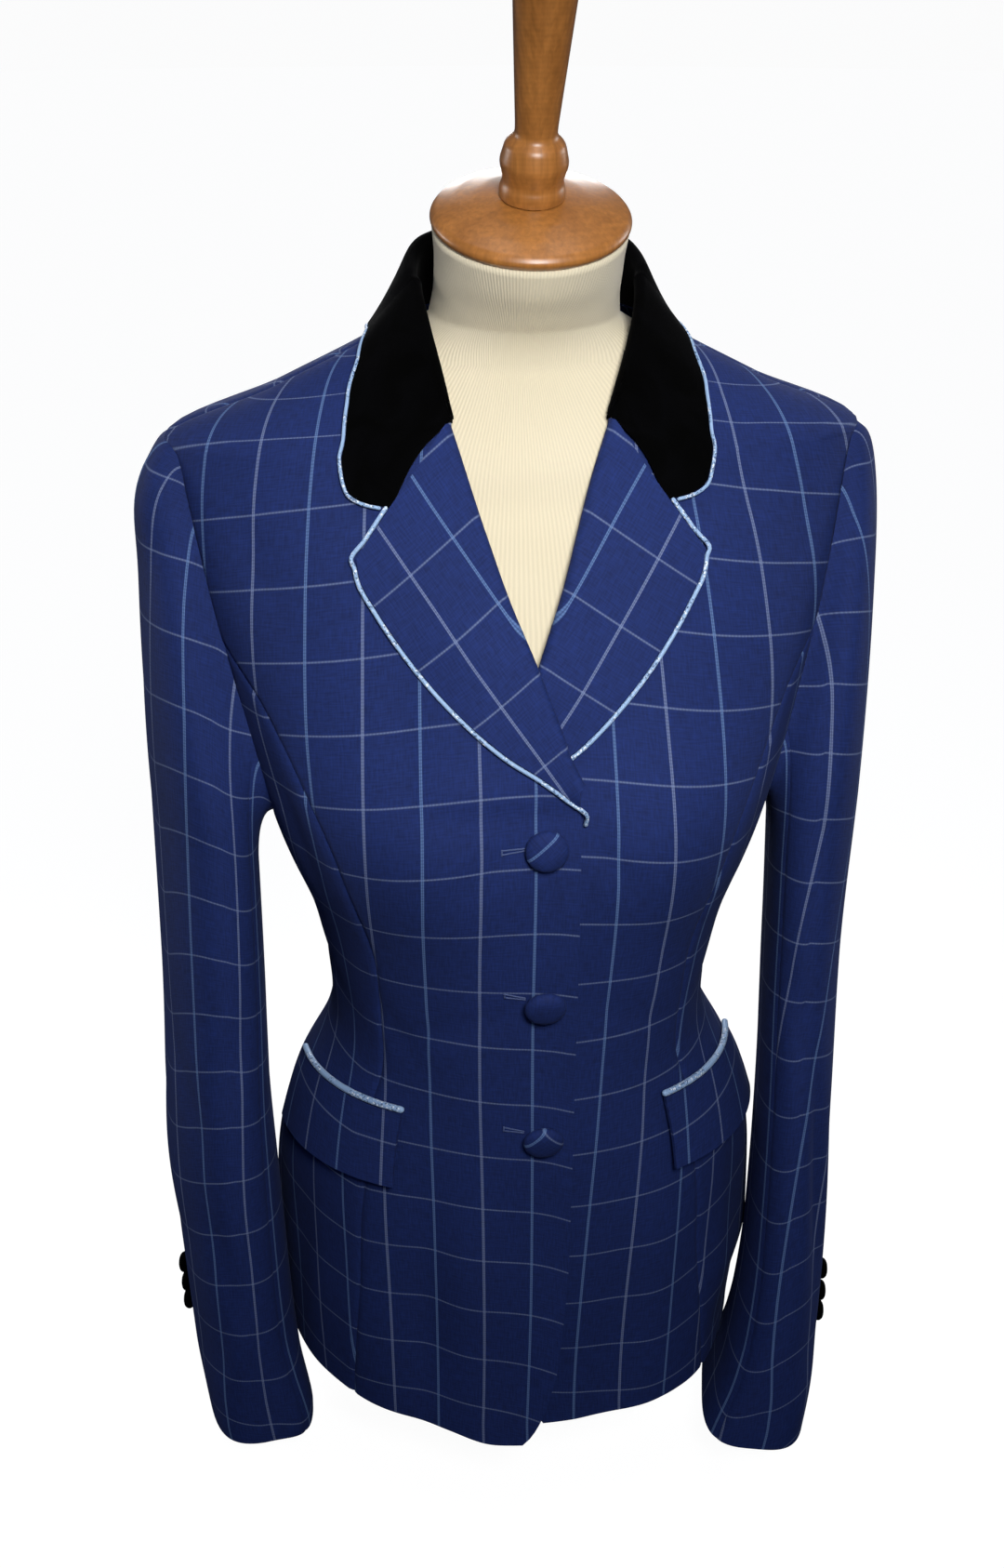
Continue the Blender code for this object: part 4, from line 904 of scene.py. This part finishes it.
def piping(name, line, radius, replaced, mirrored=False, press=False, sides=12, finish=print_cotton):
    """A covered cord along a line of points, closed with a rounded end at both ends."""
    line = settle(line * MIRROR if mirrored else line, press)
    along = units(np.gradient(line, axis=0))
    across = units(np.cross(along, UP + 0.01))
    upright = np.cross(across, along)
    turn = np.arange(sides + 1) * 2 * math.pi / sides
    run = np.concatenate([[0], np.linalg.norm(np.diff(line, axis=0), axis=1).cumsum()])
    circle = np.cos(turn)[:, None, None] * across + np.sin(turn)[:, None, None] * upright
    tube = np.swapaxes(line[None] + radius * circle, 0, 1)
    starts = [tube[0] * c + line[0] * (1 - c) - along[0] * radius * s for c, s in ((0.05, 0.9), (0.7, 0.6))]
    ends = [tube[-1] * c + line[-1] * (1 - c) + along[-1] * radius * s for c, s in ((0.7, 0.6), (0.05, 0.9))]
    tube = np.concatenate([np.stack(starts), tube, np.stack(ends)])
    run = np.concatenate([[-2 * radius, -radius], run, [run[-1] + radius, run[-1] + 2 * radius]])
    made = new_mesh(name, tube, grid_faces(len(tube), sides + 1), finish)
    lay_threads(made, np.stack(np.broadcast_arrays(run[:, None], radius * turn), -1))
    shape = bmesh.new()
    shape.from_mesh(made.data)
    bmesh.ops.remove_doubles(shape, verts=shape.verts, dist=1e-6)
    bmesh.ops.holes_fill(shape, edges=shape.edges)
    bmesh.ops.recalc_face_normals(shape, faces=shape.faces)
    shape.to_mesh(made.data)
    shape.free()
    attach(made, "root")
    if replaced:
        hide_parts(replaced)
    return made


# Radius of the cord in each piping
FLAP_CORD, LAPEL_CORD, COLLAR_CORD = 0.0019, 0.0011, 0.0009
NOTCH_COLUMN = 15
for side in ("left", "right"):
    mirrored = side == "right"
    press = side == "left"
    piping(f"pocket_cord_{side}", beside(flap_edges[side], FLAP_CORD), FLAP_CORD, f"pocket_piping_{side}",
           mirrored, press)
    points = lapel_grids[side]
    outer = beside(np.swapaxes(points, 0, 1)[:, ::-1], LAPEL_CORD)[::-1]
    notch = beside(points, LAPEL_CORD)[:NOTCH_COLUMN - 1:-1]
    corner = outer[-1] + notch[0] - points[-1, -1]
    corner = points[-1, -1] + 0.8 * (corner - points[-1, -1])
    knots = np.concatenate([outer[:-4:3], [corner], notch[3::3]])
    if side == "right":
        inset, height = np.array([-0.0217, -0.0217]), np.array([0.4605, 0.4662])
        curl = out(angle_at(inset, height), height, np.array([0.0010, 0.0040]) + lap(inset, height, side))
        knots = np.concatenate([curl, knots[1:]])
    piping(f"lapel_cord_{side}", through(knots, 4), LAPEL_CORD, f"lapel_piping_{side}", mirrored)
piping("collar_cord", beside(collar, COLLAR_CORD)[1:-1], COLLAR_CORD, "collar_piping")

# Sleeves
# Two-piece sleeves of the same wool, eased into the armholes and bent a little forward: a top sleeve
# that shows and an under sleeve, sewn together down the front and the hind arm.
SLEEVE_COLUMNS = "height centre_x centre_y half_x half_y"
SLEEVES = {
    "right": table(
        SLEEVE_COLUMNS,
        (0.041, 0.1685, -0.059, 0.0285, 0.046),
        (0.075, 0.1735, -0.053, 0.0272, 0.047),
        (0.150, 0.1775, -0.043, 0.0265, 0.050),
        (0.245, 0.1790, -0.030, 0.0262, 0.054),
        (0.330, 0.1768, -0.016, 0.0257, 0.058),
        (0.425, 0.1755, -0.004, 0.0250, 0.062),
    ),
    "left": table(
        SLEEVE_COLUMNS,
        (0.040, 0.1400, -0.096, 0.0290, 0.046),
        (0.075, 0.1508, -0.086, 0.0252, 0.047),
        (0.150, 0.1606, -0.064, 0.0212, 0.050),
        (0.245, 0.1650, -0.042, 0.0202, 0.054),
        (0.330, 0.1676, -0.022, 0.0206, 0.058),
        (0.425, 0.1712, -0.006, 0.0235, 0.062),
    ),
}
# Where the threads run on each sleeve, as on the fronts, by powers of the turn and of the height
SLEEVE_GRAIN = {
    "right": ((-45.2, 0.2, -9.4, -8.2, 8.2, -5.0, -23.5, -5.8, 18.3, 7.7, 4.2, 7.4, 11.3, -2.4, -10.1),
              (10.8, 1.0, -10.5, 12.0, -6.4, -21.7, -1.1, 40.9, 2.3, -16.5, 11.6, 17.3, -13.7, -18.8, 6.2)),
    "left": ((-51.6, 32.1, 10.6, -21.2, -6.7, -2.3, -5.5, -4.8, -1.4, 2.0, 2.0, -1.6, -5.1, 2.2, 5.1),
             (11.0, 17.0, -35.9, 4.8, 5.1, -13.6, 0.9, 5.1, -2.9, 6.1, 6.5, -10.3, 10.2, 5.6, -6.4)),
}
SLEEVE_TURN_IN = math.radians(12.0)
CAP_ROWS = 36
# How far the cuff hangs lower on the inner side of the hand
CUFF_DROP = {"right": 0.0065, "left": 0.0}
# Creases of each sleeve: turn in degrees over 1000 and height of both ends, half width, depth
SLEEVE_CREASES = {
    "right": ((0.020, 0.300, 0.062, 0.225, 0.016, -0.0022), (0.050, 0.215, 0.085, 0.120, 0.014, -0.0020),
              (0.110, 0.330, 0.070, 0.265, 0.015, -0.0016), (0.090, 0.130, 0.060, 0.075, 0.012, 0.0018),
              (0.075, 0.520, 0.100, 0.440, 0.016, -0.0020), (-0.008, 0.250, 0.004, 0.165, 0.026, 0.0034),
              (0.178, 0.265, 0.178, 0.030, 0.034, 0.0036), (-0.005, 0.604, 0.035, 0.594, 0.024, 0.0050)),
    "left": ((0.070, 0.285, 0.036, 0.120, 0.013, -0.0032), (0.050, 0.270, 0.020, 0.110, 0.012, 0.0024),
             (0.105, 0.340, 0.080, 0.270, 0.014, -0.0016), (0.075, 0.520, 0.100, 0.440, 0.016, -0.0020),
             (0.188, 0.265, 0.192, 0.010, 0.034, 0.0008)),
}


def sleeve_ring(rows, turn, height):
    """A point of a sleeve's tube: turn 0 is the outer side, 90 degrees the front."""
    power = 2 / (2.2 + 1.3 * ease((0.100 - height) / 0.055))
    x = smooth(rows, "half_x", height) * np.sign(np.cos(turn)) * np.abs(np.cos(turn)) ** power
    y = -smooth(rows, "half_y", height) * np.sign(np.sin(turn)) * np.abs(np.sin(turn)) ** power
    c, s = math.cos(SLEEVE_TURN_IN), math.sin(SLEEVE_TURN_IN)
    return np.stack([
        smooth(rows, "centre_x", height) + x * c + y * s,
        smooth(rows, "centre_y", height) - x * s + y * c,
        height + 0 * turn,
    ], -1)


def sleeve_points(side, turn):
    """A sleeve piece from the armhole down to the cuff, between two turns."""
    rows = SLEEVES[side]
    underarm = ease((1 - np.cos(turn)) / 2) ** 3
    angle, height = armhole(turn)
    start = out(angle, height, 0.0006 - 0.0016 * underarm)
    start[:, 2] += 0.0035 * underarm
    towards = np.array([0.0, 0.0, SHOULDER - ARMHOLE_DEPTH / 2]) - start
    towards[:, 0] = 0
    start += units(towards) * SEAM_GAP * (1 - underarm)[:, None]
    top = rows["height"][-1] - 0.030 * underarm
    end = sleeve_ring(rows, turn, top)
    span = np.linalg.norm(end - start, axis=1, keepdims=True)
    leave = start + span * 0.08 * np.array([1.0, 0, 0])
    arrive = end + span * 0.62 * UP
    grid = [(1 - t) ** 3 * start + 3 * t * (1 - t) ** 2 * leave + 3 * t * t * (1 - t) * arrive + t ** 3 * end
            for t in np.linspace(0, 1, CAP_ROWS + 1)]
    cuff = rows["height"][0] - CUFF_DROP[side] * np.exp(-((turn - 2.35) / 0.75) ** 2)
    grid += [sleeve_ring(rows, turn, height) for height in np.linspace(top, cuff, 91)[1:]]
    return np.stack(grid)


def held_turn(turn):
    """A turn that levels off softly past the front and the outer side of the arm."""
    turn = np.asarray(turn, float)
    late = 2.0 - 0.4 * np.exp(-np.maximum(turn - 1.6, 0) / 0.4)
    early = 0.15 + 0.2 * np.exp(np.minimum(turn - 0.35, 0) / 0.2)
    return np.where(turn > 1.6, late, np.where(turn < 0.35, early, turn))


def straighten(points, weave, turn, row=12):
    """Threads of a sleeve head that run on straight into the armhole from a row of the grid."""
    base = points[row]
    step = np.gradient(base, axis=0)
    length = np.linalg.norm(step, axis=1, keepdims=True)
    across = step / length
    across_rate = np.gradient(weave[row], axis=0) / length
    climb = points[row - 1] - base
    slant = np.sum(climb * across, 1, keepdims=True)
    upright = climb - slant * across
    rise = np.linalg.norm(upright, axis=1, keepdims=True)
    up_rate = (weave[row - 1] - weave[row] - slant * across_rate) / rise
    away = points[:row] - base
    straight = weave[row] + np.sum(away * across, -1, keepdims=True) * across_rate \
        + np.sum(away * upright / rise, -1, keepdims=True) * up_rate
    share = 0.75 * ease(np.abs(turn) / 1.3)[:, None]
    return np.concatenate([weave[:row] + share * (straight - weave[:row]), weave[row:]])


front_turns = np.linspace(armhole_turn(PRINCESS_TOP), 0, 6)
side_turns = np.linspace(front_turns[0], 2 * math.pi - armhole_turn(BACK_SEAM_TOP), 11)
back_turns = np.linspace(armhole_turn(BACK_SEAM_TOP), 0, 6)
sleeve_turns = np.concatenate([front_turns[::-1], side_turns[1:], 2 * math.pi - back_turns[1:]])
FRONT_ARM, HIND_ARM = sleeve_turns[7], sleeve_turns[18]
for side in ("left", "right"):
    for part, turn in (("top", np.linspace(HIND_ARM - 2 * math.pi, FRONT_ARM, 73)),
                       ("under", np.linspace(FRONT_ARM, HIND_ARM, 57))):
        points = sleeve_points(side, turn)
        normal = units(np.cross(np.gradient(points, axis=1), np.gradient(points, axis=0)))
        height = points[..., 2]
        amount = creases(SLEEVE_CREASES[side], np.broadcast_to(np.degrees(turn) / 1000, height.shape), height)
        cap = np.clip(np.arange(len(points)) / 8, 0, 1)[:, None]
        points = points + normal * (amount * cap)[..., None]
        around = np.linalg.norm(np.diff(points, axis=1), axis=-1).cumsum(1)
        around = np.concatenate([np.zeros((len(points), 1)), around], 1)
        around[:CAP_ROWS] = around[CAP_ROWS]
        zero = np.argmin(np.abs(turn))
        along = np.linalg.norm(np.diff(points, axis=0), axis=-1)
        along = np.concatenate([along[::-1].cumsum(0)[::-1], np.zeros((1, len(turn)))])
        across_drift, along_drift = SLEEVE_GRAIN[side]
        b = (np.clip(height, 0.05, 0.585) - 0.30) / 0.25
        if part == "top":
            a = np.broadcast_to(held_turn(turn) - 0.6, height.shape)
            weave = np.stack([around - around[:, zero:zero + 1] + drift(a, b, across_drift),
                              along + drift(a, b, along_drift)], -1)
            weave = straighten(points, weave, turn)
        else:
            behind = (turn - FRONT_ARM) / (HIND_ARM - FRONT_ARM)
            before_it = drift(held_turn(FRONT_ARM) - 0.6 + 0 * b, b, along_drift)
            after_it = drift(held_turn(HIND_ARM - 2 * math.pi) - 0.6 + 0 * b, b, along_drift)
            weave = np.stack([around - 0.004, along + (1 - behind) * before_it + behind * after_it], -1)
        points = dip(points, ("left", "right"), depth=0.0005)
        cloth(f"sleeve_{part}_cloth_{side}", points, weave, f"sleeve_{part}_{side}",
              mirrored=side == "right")

# Front buttons
# Three round buttons covered in the same wool, each pulled over a domed shell and hung on a shank
# through the overlapping front.


def domed(name, diameter, thickness, foot, normal, finish, sides):
    """A button: a disc drawn up step by step into a dome over a turned-in rim."""
    radius = diameter / 2
    bpy.ops.object.select_all(action="DESELECT")
    bpy.ops.mesh.primitive_circle_add(vertices=sides, radius=0.70 * radius, fill_type="NGON")
    made = bpy.context.object
    made.name = name
    steps = ((0.93, 0.14), (0.99, 0.27), (1.00, 0.40), (0.985, 0.52), (0.94, 0.64), (0.86, 0.76),
             (0.72, 0.87), (0.52, 0.95), (0.28, 0.99))
    bpy.ops.object.mode_set(mode="EDIT")
    bpy.ops.mesh.select_all(action="SELECT")
    size, height = 0.70, 0.0
    for reach, rise in steps:
        climb = (0, 0, (rise - height) * thickness)
        bpy.ops.mesh.extrude_region_move(TRANSFORM_OT_translate={"value": climb})
        bpy.ops.transform.resize(value=(reach / size, reach / size, 1))
        size, height = reach, rise
    bpy.ops.mesh.poke()
    bpy.ops.mesh.select_all(action="SELECT")
    bpy.ops.mesh.normals_make_consistent(inside=False)
    bpy.ops.object.mode_set(mode="OBJECT")
    stand_on(made, foot, normal)
    made.data.materials.append(finish)
    bpy.ops.object.shade_smooth()
    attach(made, "root")
    return made


def lay_check(made, centre, across, upward, turn, shift):
    """Give a covered button its bit of cloth: threads turned and shifted in its own plane."""
    while made.data.uv_layers:
        made.data.uv_layers.remove(made.data.uv_layers[0])
    layer = made.data.uv_layers.new(name="cloth")
    c, s = math.cos(turn), math.sin(turn)
    for corner in made.data.loops:
        away = np.array(made.data.vertices[corner.vertex_index].co) - centre
        x, y = away @ across, away @ upward
        layer.data[corner.index].uv = (c * x - s * y + shift[0], s * x + c * y + shift[1])


BUTTON_DIAMETER, BUTTON_THICKNESS, BUTTON_X = 0.022, 0.0075, 0.002
# Height, tilt, stand-off from the cloth, then how its bit of check is turned and shifted
FRONT_BUTTONS = ((0.449, 6.0, -0.0006, 48.5, (0.0035, 0.018)), (0.359, -16.0, 0.0024, 8.0, (0.0135, 0.018)),
                 (0.271, -14.0, 0.0028, 45.0, (0.0075, -0.0075)))
for number, (height, tilt, stand_off, turn, shift) in enumerate(FRONT_BUTTONS, 1):
    point = out(angle_at(BUTTON_X, height), height, WALL + float(lap(BUTTON_X, height, "right")))
    lean = math.radians(tilt)
    normal = np.array([0.0, -math.cos(lean), math.sin(lean)])
    foot = point + normal * (stand_off + SEAM_GAP)
    made = domed(f"covered_button_{number}", BUTTON_DIAMETER, BUTTON_THICKNESS, foot, normal, wool, 48)
    lay_check(made, foot, np.array([1.0, 0, 0]), np.array([0, math.sin(lean), math.cos(lean)]),
              math.radians(turn), shift)
    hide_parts(f"front_button_{number}")

# Buttonholes
# A slit through the overlapping front beside each button, its two edges overcast with navy silk twist
# that meet in a square tack at the outer end.

# Silk twist, wrapped close round the edge: a little paler than the wool, with a fine slanting rib whose
# crests are painted lighter and hollows darker, as painted light and shade
twist, tree, shader = new_material("navy silk twist")
place = node(tree, "ShaderNodeTexCoord").outputs["Object"]
wraps = node(tree, "ShaderNodeTexWave", {"Vector": place, "Scale": 900.0, "Distortion": 1.0, "Detail": 1.0},
             bands_direction="X").outputs["Fac"]
# Painted light and shade: each wrap's crest is mixed towards the pale blue and its hollow towards the dark
# navy
silk = node(tree, "ShaderNodeMix", {0: wraps, 6: linear("#27345F"), 7: linear("#5C6C98")},
            data_type="RGBA").outputs[2]
bump = node(tree, "ShaderNodeBump", {"Height": wraps, "Strength": 0.5, "Distance": 0.0002}).outputs[0]
tree.links.new(silk, shader.inputs["Base Color"])
tree.links.new(bump, shader.inputs["Normal"])
shader.inputs["Roughness"].default_value = 0.5

TWIST_RADIUS = 0.00045
HOLE_START = 0.008
# Height of the outer and the inner end of each hole, and its length
BUTTONHOLES = ((0.4485, 0.4495, 0.0125), (0.3625, 0.3605, 0.0105), (0.2755, 0.2735, 0.0105))
for number, (outer_end, inner_end, length) in enumerate(BUTTONHOLES, 1):
    run = np.concatenate([np.linspace(0.0, 1.0, 14), np.full(5, 1.0), np.linspace(1.0, 0.0, 14)])
    spread = np.concatenate([np.linspace(0.0005, 0.0011, 14), np.linspace(0.0018, -0.0018, 5),
                             np.linspace(-0.0011, -0.0005, 14)])
    inset = HOLE_START + length * run
    height = inner_end + (outer_end - inner_end) * run + spread
    around = arcs(angle_at(inset, height), height)[0]
    stand_off = WALL + lap(inset, height, "right") + front_relief("right", around, height) + 0.0001
    path = out(angle_at(inset, height), height, stand_off)
    hole = piping(f"buttonhole_{number}", path, TWIST_RADIUS, None, mirrored=True, sides=8, finish=twist)

# Cuff buttons
# Three small black buttons in a row beside each hind arm seam, covered in the collar's velvet.
CUFF_BUTTON_DIAMETER, CUFF_BUTTON_THICKNESS = 0.013, 0.006
CUFF_BUTTON_HEIGHTS = (0.1125, 0.099, 0.0855)
# Side, its sign in x, degrees past the seam and stand-off from the cloth
for side, sign, forward, stand_off in (("left", 1, 23.0, 0.0003), ("right", -1, 0.0, 0.0009)):
    for number, height in enumerate(CUFF_BUTTON_HEIGHTS, 1):
        turn = HIND_ARM + np.radians(forward + np.array([-8.0, 0.0, 8.0]))
        before, point, after = sleeve_ring(SLEEVES[side], turn, np.full(3, height))
        normal = units(np.cross(after - before, -UP))
        flip = np.array([sign, 1, 1])
        foot = (point + normal * (WALL + stand_off)) * flip
        made = domed(f"velvet_button_{side}_{number}", CUFF_BUTTON_DIAMETER, CUFF_BUTTON_THICKNESS, foot,
                     normal * flip, velvet, 32)
        lay_check(made, point * flip, np.array([0, 1.0, 0]), UP, 0.0, (0.01 * number, 0.0))
        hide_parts(f"cuff_button_{side}_{number}")

# Studio
# A white light table with a white wall far round it and a dim bluish surround, as for a catalogue picture.
# A narrow soft light above the camera picks out the chest, a wide weak one hangs overhead, and three
# weak ones behind and beside the form fill in the back and the sides.
bpy.context.scene.view_settings.view_transform = "Standard"
bpy.ops.object.select_all(action="DESELECT")
bpy.ops.mesh.primitive_plane_add(size=120.0, location=(0, 0, -0.0002))
floor = bpy.context.object
floor.name = "studio_floor"
bpy.ops.object.select_all(action="DESELECT")
bpy.ops.mesh.primitive_cylinder_add(vertices=96, radius=12.0, depth=40.0, end_fill_type="NOTHING",
                                    location=(0, 0, 19.9))
wall = bpy.context.object
wall.name = "studio_wall"
paper, tree, shader = new_material("white light table")
shader.inputs["Base Color"].default_value = linear("#6A6A6A")
shader.inputs["Roughness"].default_value = 0.9
shader.inputs["Specular IOR Level"].default_value = 0.0
shader.inputs["Emission Color"].default_value = (1.0, 1.0, 1.0, 1.0)
shader.inputs["Emission Strength"].default_value = 0.96
for sheet in (floor, wall):
    sheet.data.materials.append(paper)
    sheet.visible_diffuse = False
    sheet.visible_glossy = False
wall.visible_shadow = False
world = bpy.data.worlds.new("studio")
bpy.context.scene.world = world
world.use_nodes = True
place = node(world.node_tree, "ShaderNodeTexCoord").outputs["Generated"]
high = node(world.node_tree, "ShaderNodeSeparateXYZ", {0: place}).outputs["Z"]
glow = node(world.node_tree, "ShaderNodeMapRange", {"Value": high, "From Min": -0.2, "From Max": 0.9,
                                                    "To Min": 0.05, "To Max": 0.16}).outputs[0]
background = world.node_tree.nodes["Background"]
background.inputs["Color"].default_value = linear("#C8D9FF")
world.node_tree.links.new(glow, background.inputs["Strength"])
# Name, place, target, size, power and spread of each light
LIGHTS = (
    ("key", (0.06, -0.92, 1.12), (0, -0.10, 0.58), 0.30, 1.55, 62.0),
    ("top", (0.05, -0.10, 1.80), (0, 0.0, 0.60), 0.80, 3.0, 180.0),
    ("back", (0.10, 1.15, 1.00), (0, 0.08, 0.42), 0.50, 1.4, 70.0),
    ("left", (1.10, 0.45, 0.85), (0.15, 0.02, 0.38), 0.40, 0.6, 60.0),
    ("right", (-1.10, 0.45, 0.85), (-0.15, 0.02, 0.38), 0.40, 0.6, 60.0),
)
for name, place, target, size, power, spread in LIGHTS:
    light = bpy.data.lights.new(name, "AREA")
    light.size = size
    light.energy = power
    light.spread = math.radians(spread)
    made = bpy.data.objects.new(name, light)
    made.location = place
    aim = np.array(target) - np.array(place)
    tip = math.atan2(math.hypot(aim[0], aim[1]), -aim[2])
    made.rotation_euler = (tip, 0, math.atan2(aim[1], aim[0]) - math.pi / 2)
    bpy.context.scene.collection.objects.link(made)
